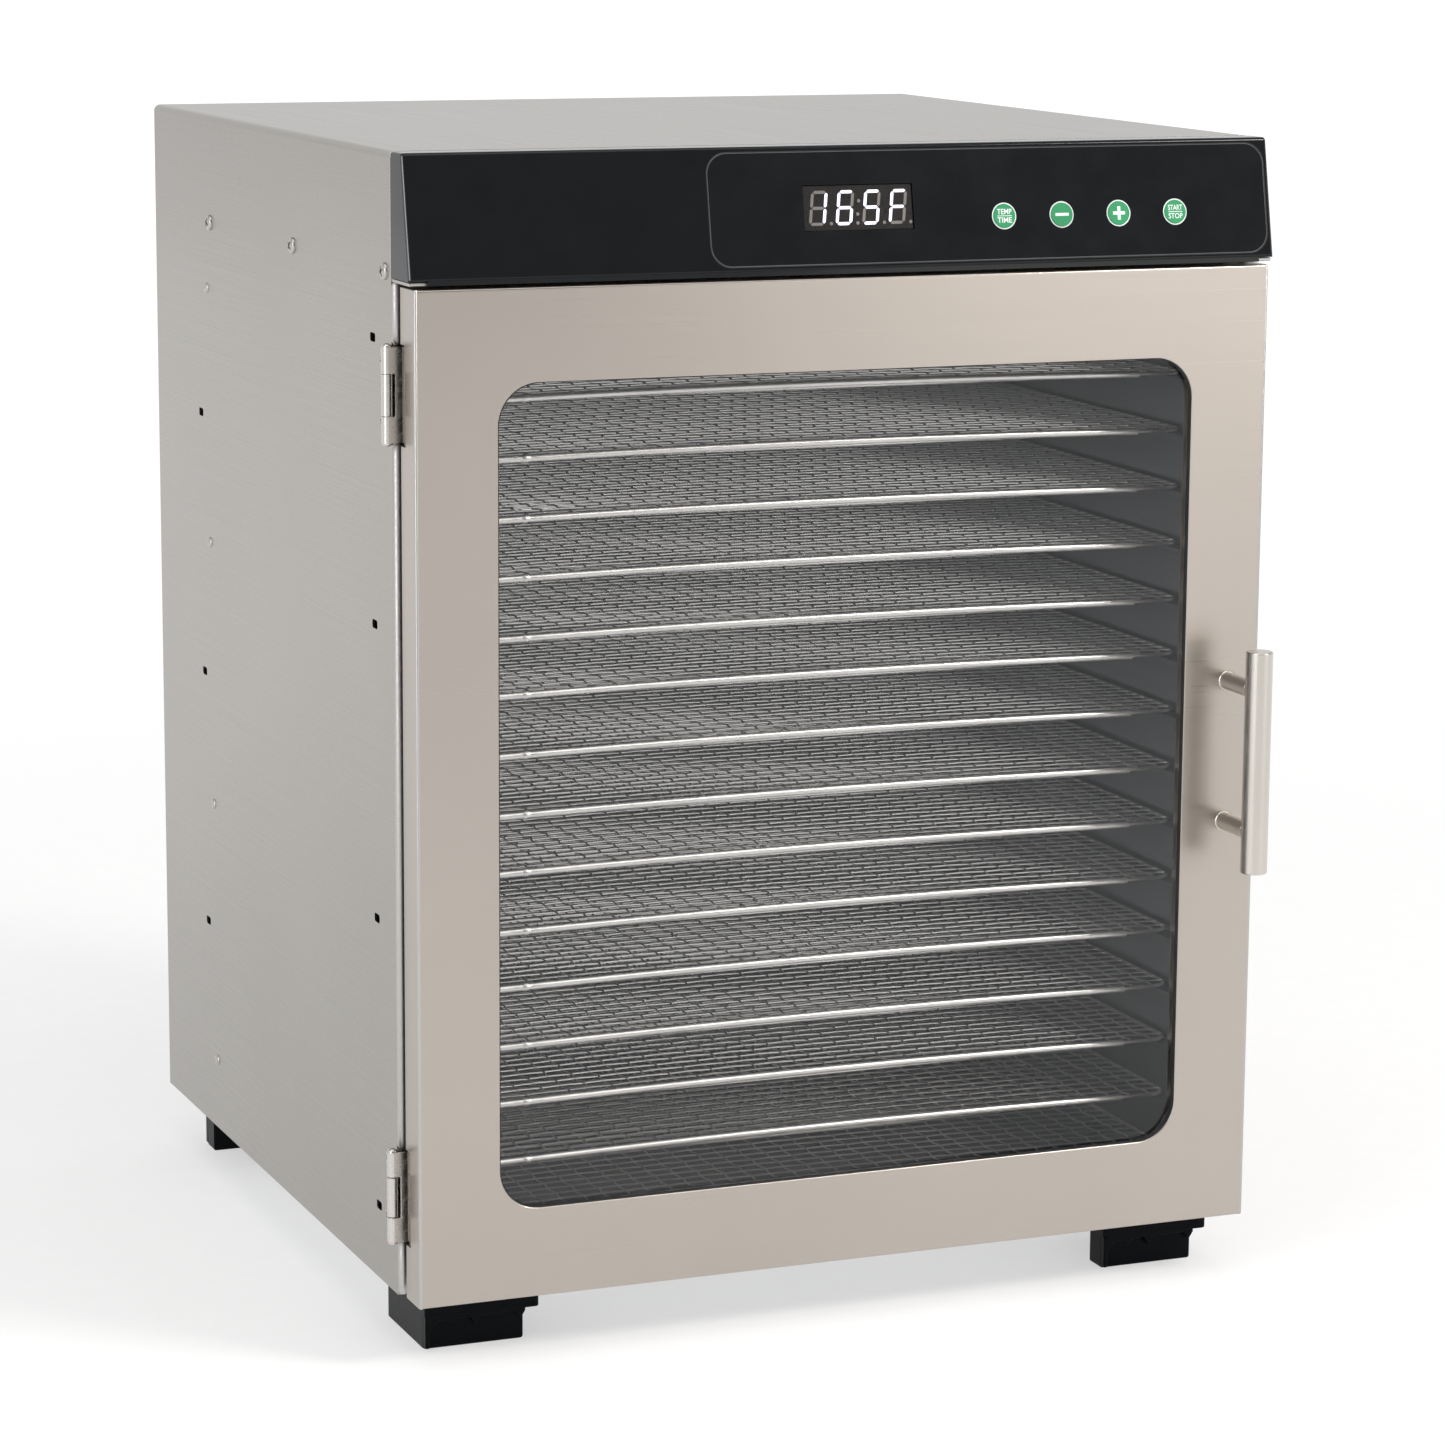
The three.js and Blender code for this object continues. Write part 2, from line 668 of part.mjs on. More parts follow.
function windowGasket() {
  const outer = {
    width: windowWidth + 2 * glassOverlap,
    height: windowHeight + 2 * glassOverlap,
    radius: windowRadius,
  };
  const inner = {
    width: windowWidth - 2 * windowGasketLip,
    height: windowHeight - 2 * windowGasketLip,
    radius: windowRadius - windowGasketLip,
  };
  const front = doorFront + sheet + fit;
  return doorRing(outer, inner, [front, front + windowGasketThickness]);
}

function glassFront() {
  return doorFront + sheet + fit + windowGasketThickness + fit;
}

function windowGlass() {
  const outline = centredRectangle(
    0, doorMiddle, windowWidth + 2 * glassOverlap, windowHeight + 2 * glassOverlap, windowRadius);
  return extrudeAlongY(outline, [glassFront(), glassFront() + glassThickness]);
}

// The sheet that closes the door's back, with a turned edge that holds the glass.
function innerFrame() {
  const outer = {
    width: 2 * (doorHalf - sheet - fit),
    height: doorTop - doorBottom - 2 * (sheet + fit),
    radius: 0,
  };
  const opening = {
    width: windowWidth + 2 * innerFrameStep,
    height: windowHeight + 2 * innerFrameStep,
    radius: windowRadius,
  };
  const turned = {
    width: opening.width + 2 * sheet,
    height: opening.height + 2 * sheet,
    radius: windowRadius + sheet,
  };
  const edge = [glassFront() + glassThickness + fit, doorBack];
  return join(doorRing(outer, opening, [doorBack - sheet, doorBack]), doorRing(turned, opening, edge));
}

function doorSeal() {
  const inner = {
    width: 2 * (mouthHalf + sealOffset),
    height: chamberHeight + 2 * sealOffset,
    radius: sealRadius - sealWidth,
  };
  const outer = {
    width: inner.width + 2 * sealWidth,
    height: inner.height + 2 * sealWidth,
    radius: sealRadius,
  };
  return doorRing(outer, inner, [doorBack + fit, frameFront - fit]);
}

function doorHandle() {
  const x = doorHalf - handleEdgeInset;
  const barY = doorFront - handleProjection + handleBarDiameter / 2;
  const barSpan = [doorMiddle - handleLength / 2, doorMiddle + handleLength / 2];
  const bar = rodAlongZ(x, barY, handleBarDiameter / 2, barSpan, largeSides);
  const postSpan = [barY + handleBarDiameter / 2 + fit, doorFront - fit];
  const post = (z) => rodAlongY(x, z, handlePostDiameter / 2, postSpan);
  return [
    named('handle_bar', bar, 'polished'),
    named('handle_post_upper', post(doorMiddle + handleHoleCentres / 2), 'polished'),
    named('handle_post_lower', post(doorMiddle - handleHoleCentres / 2), 'polished'),
  ];
}

function magneticCatch() {
  const right = half - (frontFlange - catchWidth) / 2;
  const span = [doorMiddle - catchHeight / 2, doorMiddle + catchHeight / 2];
  return block([right - catchWidth, right], [doorBack + 2 * fit, -fit], span);
}

// ---------------------------------------------------------------- hinges
function hingeCentres() {
  return [doorTop - hingeInset, doorBottom + hingeInset];
}

// One leaf: a plate beside the barrel and the knuckles rolled from it, bored for the pin.
function hingeLeafPiece(z, plateY, knuckles) {
  const ends = [z - hingeHeight / 2, z + hingeHeight / 2];
  const radius = hingeBarrel / 2;
  const leafStart = hingeAxisX + radius + fit;
  const leafEnd = -sealOuterHalf - hingeLeafClearance;
  const plate = block([leafStart, leafEnd], plateY, ends);
  const barrel = knuckles.map((span) => rodAlongZ(hingeAxisX, hingeAxisY, radius, span, knuckleSides));
  const rolls = knuckles.map((span) => block([hingeAxisX, leafStart + rooted], plateY, span));
  const boreRadius = hingePinDiameter / 2 + fit / 2;
  const boreSpan = [ends[0] - cutPast, ends[1] + cutPast];
  const bore = rodAlongZ(hingeAxisX, hingeAxisY, boreRadius, boreSpan, pinSides);
  return cut(join(plate, ...barrel, ...rolls), bore);
}

function hinge(label, z) {
  const bottom = z - hingeHeight / 2;
  const top = z + hingeHeight / 2;
  const outerKnuckles = [[bottom, bottom + hingeEndKnuckle], [top - hingeEndKnuckle, top]];
  const middleKnuckle = [[bottom + hingeEndKnuckle + fit, top - hingeEndKnuckle - fit]];
  const front = hingeAxisY - hingeBarrel / 2;
  const back = hingeAxisY + hingeBarrel / 2;
  const doorLeaf = hingeLeafPiece(z, [front, front + hingeLeaf], outerKnuckles);
  const cabinetLeaf = hingeLeafPiece(z, [back - hingeLeaf, back], middleKnuckle);
  const pin = rodAlongZ(hingeAxisX, hingeAxisY, hingePinDiameter / 2, [bottom, top], pinSides);
  return [
    named(`${label}_hinge_door_leaf`, doorLeaf, 'polished'),
    named(`${label}_hinge_cabinet_leaf`, cabinetLeaf, 'polished'),
    named(`${label}_hinge_pin`, pin, 'polished'),
  ];
}

// ---------------------------------------------------------------- fascia and controls
// The fascia's slanted face has a frame of its own: x across, y up the face, z out of it.
function faceGroup() {
  const group = new THREE.Group();
  group.position.set(0, -(fasciaTopDepth + fasciaBottomDepth) / 2, cabinetTop - fasciaHeight / 2);
  group.rotation.x = Math.PI / 2 - fasciaTilt;
  group.updateMatrixWorld(true);
  return group;
}

function overlayOutline(grow, Kind) {
  return centredRectangle(
    (overlayLeft + overlayRight) / 2, 0,
    overlayWidth + 2 * grow, overlayHeight + 2 * grow, overlayRadius + grow, Kind);
}

function displayOutline(grow, Kind) {
  return centredRectangle(displayCentre, 0, displayWidth + 2 * grow, displayHeight + 2 * grow, 0, Kind);
}

function buttonCentre(index) {
  return overlayLeft + buttonFromOverlayEdge + index * buttonPitch;
}

function fascia() {
  const bottom = cabinetTop - fasciaHeight;
  const outer = polygon([
    [-fit, bottom], [-fit, cabinetTop], [-fasciaTopDepth, cabinetTop], [-fasciaBottomDepth, bottom],
  ]);
  const inner = polygon([
    [cutPast, bottom + fasciaWall], [cutPast, cabinetTop - fasciaWall],
    [-fasciaTopDepth + fasciaWall, cabinetTop - fasciaWall],
    [-fasciaBottomDepth + fasciaWall, bottom + fasciaWall],
  ]);
  const body = extrudeAlongX(outer, [-half, half]);
  const hollow = extrudeAlongX(inner, [-half + fasciaWall, half - fasciaWall]);
  const face = faceGroup();
  const through = [-fasciaWall - cutPast, cutPast];
  const tools = [
    extrude(overlayOutline(fit), [-overlayRecess, cutPast], overlayCornerSegments),
    extrude(displayOutline(fit), through),
  ];
  for (let index = 0; index < buttonNames.length; index += 1) {
    const hole = circle(buttonCentre(index), -buttonDrop, buttonDiameter / 2 + fit);
    tools.push(extrude(hole, through, buttonHoleSegments));
  }
  return cut(body, hollow, ...tools.map((tool) => tool.applyMatrix4(face.matrixWorld)));
}

function overlay() {
  const outline = overlayOutline(0);
  outline.holes.push(displayOutline(fit, THREE.Path));
  for (let index = 0; index < buttonNames.length; index += 1) {
    outline.holes.push(circle(buttonCentre(index), -buttonDrop, buttonDiameter / 2 + fit, THREE.Path));
  }
  const bottom = -overlayRecess + fit;
  return extrude(outline, [bottom, bottom + overlayThickness], overlayCornerSegments);
}

function display() {
  return extrude(displayOutline(0), [-boardDepth + fit, -displayBelowFace]);
}

function buttonCap() {
  const radius = buttonDiameter / 2;
  const lipFront = -fasciaWall - fit;
  const profile = [
    [0, -buttonLength], [radius + buttonFlange, -buttonLength], [radius + buttonFlange, lipFront],
    [radius, lipFront], [radius, buttonProud], [0, buttonProud],
  ];
  const points = profile.map(([r, z]) => new THREE.Vector2(r, z));
  return new THREE.LatheGeometry(points, barSides).rotateX(Math.PI / 2);
}

function controlBoard() {
  const back = -boardDepth - boardThickness;
  const outline = rectangle(
    [overlayLeft + boardMargin, overlayRight - boardMargin],
    [-overlayHeight / 2 + boardRim, overlayHeight / 2 - boardRim],
  );
  const switchTop = -buttonLength - buttonTravel - fit;
  const pieces = [extrude(outline, [back, -boardDepth])];
  for (let index = 0; index < buttonNames.length; index += 1) {
    const body = centredRectangle(buttonCentre(index), -buttonDrop, switchSize, switchSize, 0);
    pieces.push(extrude(body, [-boardDepth - rooted, switchTop]));
  }
  return join(...pieces);
}

function controls() {
  const group = faceGroup();
  group.add(named('overlay', overlay(), 'overlay'));
  group.add(named('display', display(), 'display'));
  group.add(named('control_board', controlBoard(), 'board'));
  buttonNames.forEach((name, index) => {
    const mesh = named(name, buttonCap(), 'green');
    mesh.position.set(buttonCentre(index), -buttonDrop, 0);
    group.add(mesh);
  });
  return group;
}

// ---------------------------------------------------------------- assembly
function cabinet() {
  const group = new THREE.Group();
  group.add(named('outer_shell', outerShell(), 'stainless'));
  group.add(named('base_pan', basePan(), 'galvanised'));
  group.add(named('rear_panel', rearPanel(), 'stainless'));
  group.add(named('front_frame', frontFrame(), 'stainless'));
  group.add(named('control_shelf', controlShelf(), 'stainless'));
  group.add(named('liner_left', sideLiner(-1), 'liner'));
  group.add(named('liner_right', sideLiner(1), 'liner'));
  group.add(named('chamber_ceiling', chamberPlate([chamberCeiling, chamberCeiling + sheet]), 'liner'));
  group.add(named('chamber_floor', chamberPlate([chamberFloor - sheet, chamberFloor]), 'liner'));
  group.add(named('fan_baffle', fanBaffle(), 'liner'));
  group.add(...feet());
  group.add(named('fascia', fascia(), 'fascia'));
  group.add(named('door_catch', magneticCatch(), 'magnet'));
  return group;
}

function airSystem() {
  const group = new THREE.Group();
  group.add(named('fan_guard', fanGuard(), 'galvanised'));
  group.add(named('fan_blade', fanBlade(), 'galvanised'));
  group.add(named('motor_shaft', motorShaft(), 'polished'));
  group.add(named('fan_motor', fanMotor(), 'galvanised'));
  group.add(named('motor_bracket', motorBracket(), 'galvanised'));
  group.add(named('heating_element', heatingElement(), 'element'));
  group.add(named('power_inlet', powerInlet(), 'black'));
  return group;
}

function door() {
  const group = new THREE.Group();
  group.add(named('door_frame', doorFrame(), 'stainless'));
  group.add(named('window_gasket', windowGasket(), 'rubber'));
  group.add(named('window_glass', windowGlass(), 'glass'));
  group.add(named('inner_frame', innerFrame(), 'stainless'));
  group.add(named('door_seal', doorSeal(), 'rubber'));
  group.add(...doorHandle());
  return group;
}

function hinges() {
  const group = new THREE.Group();
  const labels = ['upper', 'lower'];
  hingeCentres().forEach((z, index) => {
    group.add(...hinge(labels[index], z));
  });
  return group;
}

const group = new THREE.Group();
group.add(cabinet(), airSystem(), ...trays(), door(), hinges(), controls());

// The origin is the middle of the bottom of the whole object.
group.updateMatrixWorld(true);
const bounds = new THREE.Box3().setFromObject(group, true);
const middle = bounds.getCenter(new THREE.Vector3());
group.position.set(-middle.x, -middle.y, -bounds.min.z);

export default group;
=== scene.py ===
# The finished look of the cabinet food dehydrator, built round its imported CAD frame.
# Metres; X to the right, Y to the back, Z up; the origin is the middle of the object's bottom.
import json
import math
import random

import bmesh
import bpy
from mathutils import Matrix, Vector

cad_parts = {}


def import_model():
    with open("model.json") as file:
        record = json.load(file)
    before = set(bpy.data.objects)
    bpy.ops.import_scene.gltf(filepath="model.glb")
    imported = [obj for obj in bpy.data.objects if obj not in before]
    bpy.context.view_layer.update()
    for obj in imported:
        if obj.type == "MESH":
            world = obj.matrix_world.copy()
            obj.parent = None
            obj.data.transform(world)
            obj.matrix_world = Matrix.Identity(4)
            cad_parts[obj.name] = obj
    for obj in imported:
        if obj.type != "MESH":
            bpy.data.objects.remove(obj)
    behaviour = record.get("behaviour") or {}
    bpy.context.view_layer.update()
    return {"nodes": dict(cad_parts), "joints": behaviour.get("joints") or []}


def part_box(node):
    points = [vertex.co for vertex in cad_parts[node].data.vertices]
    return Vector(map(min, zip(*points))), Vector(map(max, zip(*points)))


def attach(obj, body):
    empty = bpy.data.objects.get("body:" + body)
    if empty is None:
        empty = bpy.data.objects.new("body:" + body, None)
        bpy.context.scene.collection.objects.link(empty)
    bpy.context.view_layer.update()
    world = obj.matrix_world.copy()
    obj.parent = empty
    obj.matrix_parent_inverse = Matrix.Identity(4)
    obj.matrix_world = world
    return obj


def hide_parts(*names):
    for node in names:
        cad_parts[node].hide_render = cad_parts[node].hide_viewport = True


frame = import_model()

MM = 0.001
NODES = frame["nodes"]

# ---------------------------------------------------------------- sizes, in millimetres unless named
SHEET_ROUND = 0.3
WIRE_PITCH_ACROSS = 10.0  # between the wires that run back
WIRE_PITCH_DEEP = 8.0  # between the wires that run across
WIRE_RADIUS = 0.45
CROSS_WAVE = 0.1  # how far the woven wires swing up and down
DEEP_WAVE = 0.5
DEEP_SINK = 0.3  # the wires that run back lie this much lower
TRAY_BOW = 2.0  # how far the middle of a tray stands above its sides
RIM_RADIUS = 1.65  # the thick bars along the front and the back
FRAME_WIRE_RADIUS = 0.85
BAR_INSET = 24.0  # the bars end this far before the tray's sides
RIM_CORNER = 10.0
MESH_LIFT = 0.9  # the woven wires lie this far above the rim's centre line
TRAY_TILT = math.radians(0.22)

SIDE_SCREW = (3.7, 1.7)  # radius and height of a head
REAR_SCREW = (3.2, 1.1)
INLET_SCREW = (2.4, 0.8)
HINGE_SCREW = (2.6, 0.7)
REAR_SCREW_INSET = 9.0
RIVET_RADIUS = 2.6
RIVET_HEIGHT = 1.1
SLOT_LENGTH = 7.0
SLOT_HEIGHT = 3.8
SLOT_CORNER = 1.2
SLOT_REACH = 4.0
SHELL_BEND = 0.7
POST_BEND = 0.9
DOOR_BEND = 1.3
POST_RADIUS = 2.35
DOOR_ROLL = 1.0
DOOR_ROLL_PROUD = 0.05
CORNER_TRIM_RADIUS = 0.9
CORNER_TRIM_PROUD = 0.12
CORNER_TRIM_DROP = 0.5  # below the cabinet's top
HINGE_GAP = 0.5  # from a corner post to a hinge
FASCIA_BEND = 1.4
FASCIA_CORNER_RADIUS = 0.9
FASCIA_CORNER_INSET = 1.0

FOOT_OVERHANG = 6.5
FOOT_PLATE = 13.0
FOOT_WALL = 15.0
FOOT_FLARE = 4.5
FOOT_RECESS = 3.5  # depth of the moulded recess in a foot's end
FOOT_RECESS_RIM = 2.0
FOOT_CORNER = 1.2
FOOT_ROUND = 0.8

DISPLAY_TEXT = "165F"
DISPLAY_HEIGHT = 19.0
DISPLAY_DEPTH = 6.0
DISPLAY_SINK = 0.9  # how far the display's front lies behind the face
DIGIT_HEIGHT = 14.8
DIGIT_WIDTH = 7.6
DIGIT_PITCH = 12.3
DIGIT_SLANT = 0.14
SEGMENT_THICKNESS = 1.3
SEGMENT_GAP = 0.25
SEGMENT_ROOT = 0.1  # how deep the segments and dots are let into the display
SEGMENT_PROUD = {"unlit": 0.06, "lit": 0.12}
DOT_RADIUS = 0.75
DOT_ASIDE = 5.6  # from a digit's centre to the dot after it
COLON_RISE = 2.8

GASKET_WIDTH = 10.3
GASKET_LIP = 0.25  # width of the strip that shows at the window's edge
GASKET_CORNER = 20.0
WINDOW_CORNER = 18.0

PRINT_THICK = 0.04
RING_INNER = 5.2
RING_OUTER = 5.75
WORD_WIDTH = 6.9
WORD_HEIGHT = 2.35
WORD_GAP = 0.65  # from the rule between the two words
RULE_THICK = 0.28
MINUS_HALF = (3.2, 0.62)  # half length and half thickness
PLUS_HALF = (2.9, 0.72)
OVERLAY_CORNER = 9.0
OVERLAY_EDGE_SINK = 0.12
LIP_LEFT_INSET = 8.0
LIP_RIGHT_INSET = 7.0

HINGE_CAP_RADIUS = 2.35
HINGE_CAP_HEIGHT = 1.6
HINGE_SCREW_PITCH = 25.4
HINGE_SCREW_INSET = 12.5  # behind the cabinet's front
COLLAR_RADIUS = 4.6
COLLAR_HEIGHT = 0.8

NEAR = 0.1 * MM  # two coordinates closer than this are the same
FACE_NEAR = 0.3 * MM  # a point this close to the slanted face lies on it
WELD_DISTANCE = 0.02 * MM
FLAT_ANGLE = math.radians(0.5)  # faces that lie closer than this in angle are one face
SMOOTH_ANGLE = math.radians(35)  # flatter edges than this are shaded smooth
ROUNDED_ANGLE = math.radians(40)  # sharper edges than this are rounded
LABELS = ("upper", "lower")
WORDS = {"button_mode": ("TEMP", "TIME"), "button_start_stop": ("START", "STOP")}
BUTTONS = ("button_mode", "button_minus", "button_plus", "button_start_stop")


# ---------------------------------------------------------------- places taken from the frame
def size_of(node):
    low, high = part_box(node)
    return high - low


def middle_of(node):
    low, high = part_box(node)
    return (low + high) / 2


SHELL_LOW, SHELL_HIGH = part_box("outer_shell")
DOOR_LOW, DOOR_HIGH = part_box("door_frame")
FASCIA_LOW, FASCIA_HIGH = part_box("fascia")
CENTRE_X = (SHELL_LOW.x + SHELL_HIGH.x) / 2
PRESS_AXIS = Vector(next(j["axis"] for j in frame["joints"] if j["name"] == "button_plus_press"))


def face_matrix():
    """The fascia's slanted front: x across, y up the face, z out of it, origin in its middle."""
    out = -PRESS_AXIS.normalized()
    across = Vector((1, 0, 0))
    up = out.cross(across)
    lean = (FASCIA_HIGH.z - FASCIA_LOW.z) * up.y / up.z
    origin = Vector((CENTRE_X, FASCIA_LOW.y + lean / 2, (FASCIA_LOW.z + FASCIA_HIGH.z) / 2))
    matrix = Matrix((across, up, out)).transposed().to_4x4()
    matrix.translation = origin
    return matrix


FACE = face_matrix()
FACE_INVERSE = FACE.inverted()


def extents(points):
    """The lowest and the highest corner of the box round some points."""
    points = list(points)
    low = Vector([min(point[axis] for point in points) for axis in range(3)])
    high = Vector([max(point[axis] for point in points) for axis in range(3)])
    return low, high


def face_extents(node):
    """The box round a part of the control panel, in the face's own coordinates."""
    return extents(FACE_INVERSE @ vert.co for vert in NODES[node].data.vertices)


# ---------------------------------------------------------------- material helpers
class Recipe:
    """A material whose nodes are added one after another."""

    def __init__(self, name, colour, roughness, metallic=0.0):
        self.material = bpy.data.materials.new(name)
        self.material.use_nodes = True
        self.tree = self.material.node_tree
        self.shader = self.tree.nodes["Principled BSDF"]
        self.set("Base Color", (*colour, 1))
        self.set("Roughness", roughness)
        self.set("Metallic", metallic)
        self.material.diffuse_color = (*colour, 1)
        self.coords = self.add("ShaderNodeTexCoord")
        self.normal = None

    def set(self, socket, value):
        self.shader.inputs[socket].default_value = value

    def add(self, kind, **inputs):
        node = self.tree.nodes.new(kind)
        for socket, value in inputs.items():
            node.inputs[socket.replace("_", " ")].default_value = value
        return node

    def link(self, source, target):
        self.tree.links.new(source, target)

    def noise(self, scale, detail=3.0, roughness=0.5):
        """Noise over the object's own place; scale is per metre along X, Y and Z."""
        mapping = self.add("ShaderNodeMapping")
        mapping.inputs["Scale"].default_value = scale
        self.link(self.coords.outputs["Object"], mapping.inputs["Vector"])
        noise = self.add("ShaderNodeTexNoise", Scale=1.0, Detail=detail, Roughness=roughness)
        self.link(mapping.outputs["Vector"], noise.inputs["Vector"])
        return noise.outputs["Fac"]

    def spread(self, source, low, high, from_low=0.3, from_high=0.7):
        ranged = self.add("ShaderNodeMapRange")
        values = {"From Min": from_low, "From Max": from_high, "To Min": low, "To Max": high}
        for socket, value in values.items():
            ranged.inputs[socket].default_value = value
        self.link(source, ranged.inputs["Value"])
        return ranged.outputs["Result"]

    def vary_roughness(self, source, low, high, from_low=0.3, from_high=0.7):
        spread = self.spread(source, low, high, from_low, from_high)
        self.link(spread, self.shader.inputs["Roughness"])

    def vary_colour(self, source, dark, light, from_low=0.3, from_high=0.7):
        mix = self.add("ShaderNodeMix")
        mix.data_type = "RGBA"
        colours = [socket for socket in mix.inputs if socket.type == "RGBA"]
        colours[0].default_value = (*dark, 1)
        colours[1].default_value = (*light, 1)
        self.link(self.spread(source, 0, 1, from_low, from_high), mix.inputs["Factor"])
        output = next(socket for socket in mix.outputs if socket.type == "RGBA")
        self.link(output, self.shader.inputs["Base Color"])

    def bump(self, source, height, strength=1.0):
        """Relief of the given height in metres, on top of any added before it."""
        bump = self.add("ShaderNodeBump", Strength=strength, Distance=height)
        self.link(source, bump.inputs["Height"])
        if self.normal:
            self.link(self.normal, bump.inputs["Normal"])
        self.normal = bump.outputs["Normal"]
        self.link(self.normal, self.shader.inputs["Normal"])


def mix_shaders(tree, share, first, second, output):
    """The output shows the first shader where share is 0 and the second where it is 1."""
    mix = tree.nodes.new("ShaderNodeMixShader")
    for socket, source in zip(mix.inputs, (share, first.outputs[0], second.outputs[0])):
        tree.links.new(source, socket)
    tree.links.new(mix.outputs[0], tree.nodes[output].inputs["Surface"])


def tint(colour, factor):
    return tuple(min(1.0, channel * factor) for channel in colour)


GRAIN_SCALES = {"X": (5, 1500, 1500), "Y": (1500, 5, 1500), "turned": (5, 5, 2500)}


def brushed_metal(name, colour, roughness, grain, wave=0.0, grain_height=0.0000005):
    recipe = Recipe(name, colour, roughness, metallic=1.0)
    grain_noise = recipe.noise(GRAIN_SCALES[grain], detail=4.0)
    clouds = recipe.noise((7, 7, 7), detail=4.0)
    recipe.vary_colour(clouds, tint(colour, 0.965), tint(colour, 1.03))
    blend = recipe.add("ShaderNodeMath")
    blend.operation = "MULTIPLY_ADD"
    blend.inputs[1].default_value = 0.3
    recipe.link(clouds, blend.inputs[0])
    recipe.link(grain_noise, blend.inputs[2])
    recipe.vary_roughness(blend.outputs[0], roughness - 0.03, roughness + 0.04, 0.4, 0.9)
    if wave:
        recipe.bump(recipe.noise((4, 4, 4), detail=1.0), wave)
    recipe.bump(grain_noise, grain_height)
    return recipe.material


def plain_metal(name, colour, roughness, mottle, grain_height=0.00002):
    recipe = Recipe(name, colour, roughness, metallic=1.0)
    fine = recipe.noise((350, 350, 350), detail=4.0)
    broad = recipe.noise((25, 25, 25), detail=3.0)
    recipe.vary_colour(broad, tint(colour, 1 - mottle), tint(colour, 1 + mottle))
    recipe.vary_roughness(fine, roughness - 0.05, roughness + 0.08)
    recipe.bump(fine, grain_height)
    return recipe.material


def spangled_zinc(name):
    colour = (0.56, 0.57, 0.58)
    recipe = Recipe(name, colour, 0.42, metallic=1.0)
    cells = recipe.add("ShaderNodeTexVoronoi", Scale=140.0)
    recipe.link(recipe.coords.outputs["Object"], cells.inputs["Vector"])
    grey = recipe.add("ShaderNodeRGBToBW")
    recipe.link(cells.outputs["Color"], grey.inputs["Color"])
    recipe.vary_colour(grey.outputs["Val"], tint(colour, 0.86), tint(colour, 1.1), 0.2, 0.8)
    recipe.vary_roughness(grey.outputs["Val"], 0.34, 0.5, 0.2, 0.8)
    return recipe.material


def heated_sheath(name):
    colour = (0.20, 0.185, 0.17)
    recipe = Recipe(name, colour, 0.5, metallic=1.0)
    stain = recipe.noise((30, 30, 30), detail=5.0)
    recipe.vary_colour(stain, (0.12, 0.11, 0.12), (0.30, 0.25, 0.19))
    recipe.vary_roughness(stain, 0.4, 0.62)
    recipe.bump(recipe.noise((900, 900, 900)), 0.00003)
    return recipe.material


def moulded_plastic(name, colour, roughness, texture_height=0.00004, gloss=0.5):
    recipe = Recipe(name, colour, roughness)
    recipe.set("Specular IOR Level", gloss)
    texture = recipe.noise((1400, 1400, 1400), detail=3.0)
    clouds = recipe.noise((40, 40, 40), detail=3.0)
    recipe.vary_colour(clouds, tint(colour, 0.85), tint(colour, 1.2))
    recipe.vary_roughness(texture, roughness - 0.05, roughness + 0.07)
    recipe.bump(texture, texture_height)
    return recipe.material


def gloss_plastic(name, colour, roughness):
    recipe = Recipe(name, colour, roughness)
    recipe.set("Specular IOR Level", 0.2)
    recipe.set("Coat Weight", 0.06)
    recipe.set("Coat Roughness", 0.05)
    haze = recipe.noise((60, 60, 60), detail=5.0)
    recipe.vary_colour(haze, tint(colour, 0.9), tint(colour, 1.12))
    recipe.vary_roughness(haze, roughness * 0.9, roughness * 1.15)
    recipe.bump(recipe.noise((18, 18, 18), detail=1.0), 0.00001)
    return recipe.material


def rubber(name):
    colour = (0.014, 0.0145, 0.016)
    recipe = Recipe(name, colour, 0.75)
    dust = recipe.noise((120, 120, 120), detail=5.0)
    recipe.vary_colour(dust, tint(colour, 0.8), tint(colour, 1.6))
    recipe.vary_roughness(dust, 0.66, 0.84)
    recipe.bump(recipe.noise((2500, 2500, 2500)), 0.00003)
    return recipe.material


def window_glass_material(name):
    """Thin tempered glass: clear, with the surface's own reflection growing at grazing angles."""
    recipe = Recipe(name, (0.9, 0.92, 0.93), 0.03, metallic=1.0)
    smears = recipe.noise((9, 9, 30), detail=4.0)
    recipe.vary_roughness(smears, 0.02, 0.07)
    clear = recipe.add("ShaderNodeBsdfTransparent")
    clear.inputs["Color"].default_value = (0.955, 0.95, 0.945, 1)
    gloss = recipe.add("ShaderNodeFresnel", IOR=1.5)
    outside = recipe.add("ShaderNodeMath")
    outside.operation = "SUBTRACT"
    outside.use_clamp = True
    sides = recipe.add("ShaderNodeNewGeometry")
    recipe.link(gloss.outputs[0], outside.inputs[0])
    recipe.link(sides.outputs["Backfacing"], outside.inputs[1])
    mix_shaders(recipe.tree, outside.outputs[0], clear, recipe.shader, "Material Output")
    return recipe.material


def circuit_board_material(name):
    colour = (0.015, 0.13, 0.05)
    recipe = Recipe(name, colour, 0.38)
    bricks = recipe.add("ShaderNodeTexBrick", Scale=260.0)
    recipe.link(recipe.coords.outputs["Object"], bricks.inputs["Vector"])
    recipe.vary_colour(bricks.outputs["Fac"], (0.012, 0.10, 0.04), (0.05, 0.22, 0.10), 0, 1)
    recipe.bump(bricks.outputs["Fac"], 0.00003)
    return recipe.material


def glowing(name, colour, strength):
    recipe = Recipe(name, tint(colour, 0.6), 0.4)
    recipe.set("Emission Color", (*colour, 1))
    flicker = recipe.spread(recipe.noise((400, 400, 400)), strength * 0.92, strength * 1.05)
    recipe.link(flicker, recipe.shader.inputs["Emission Strength"])
    return recipe.material


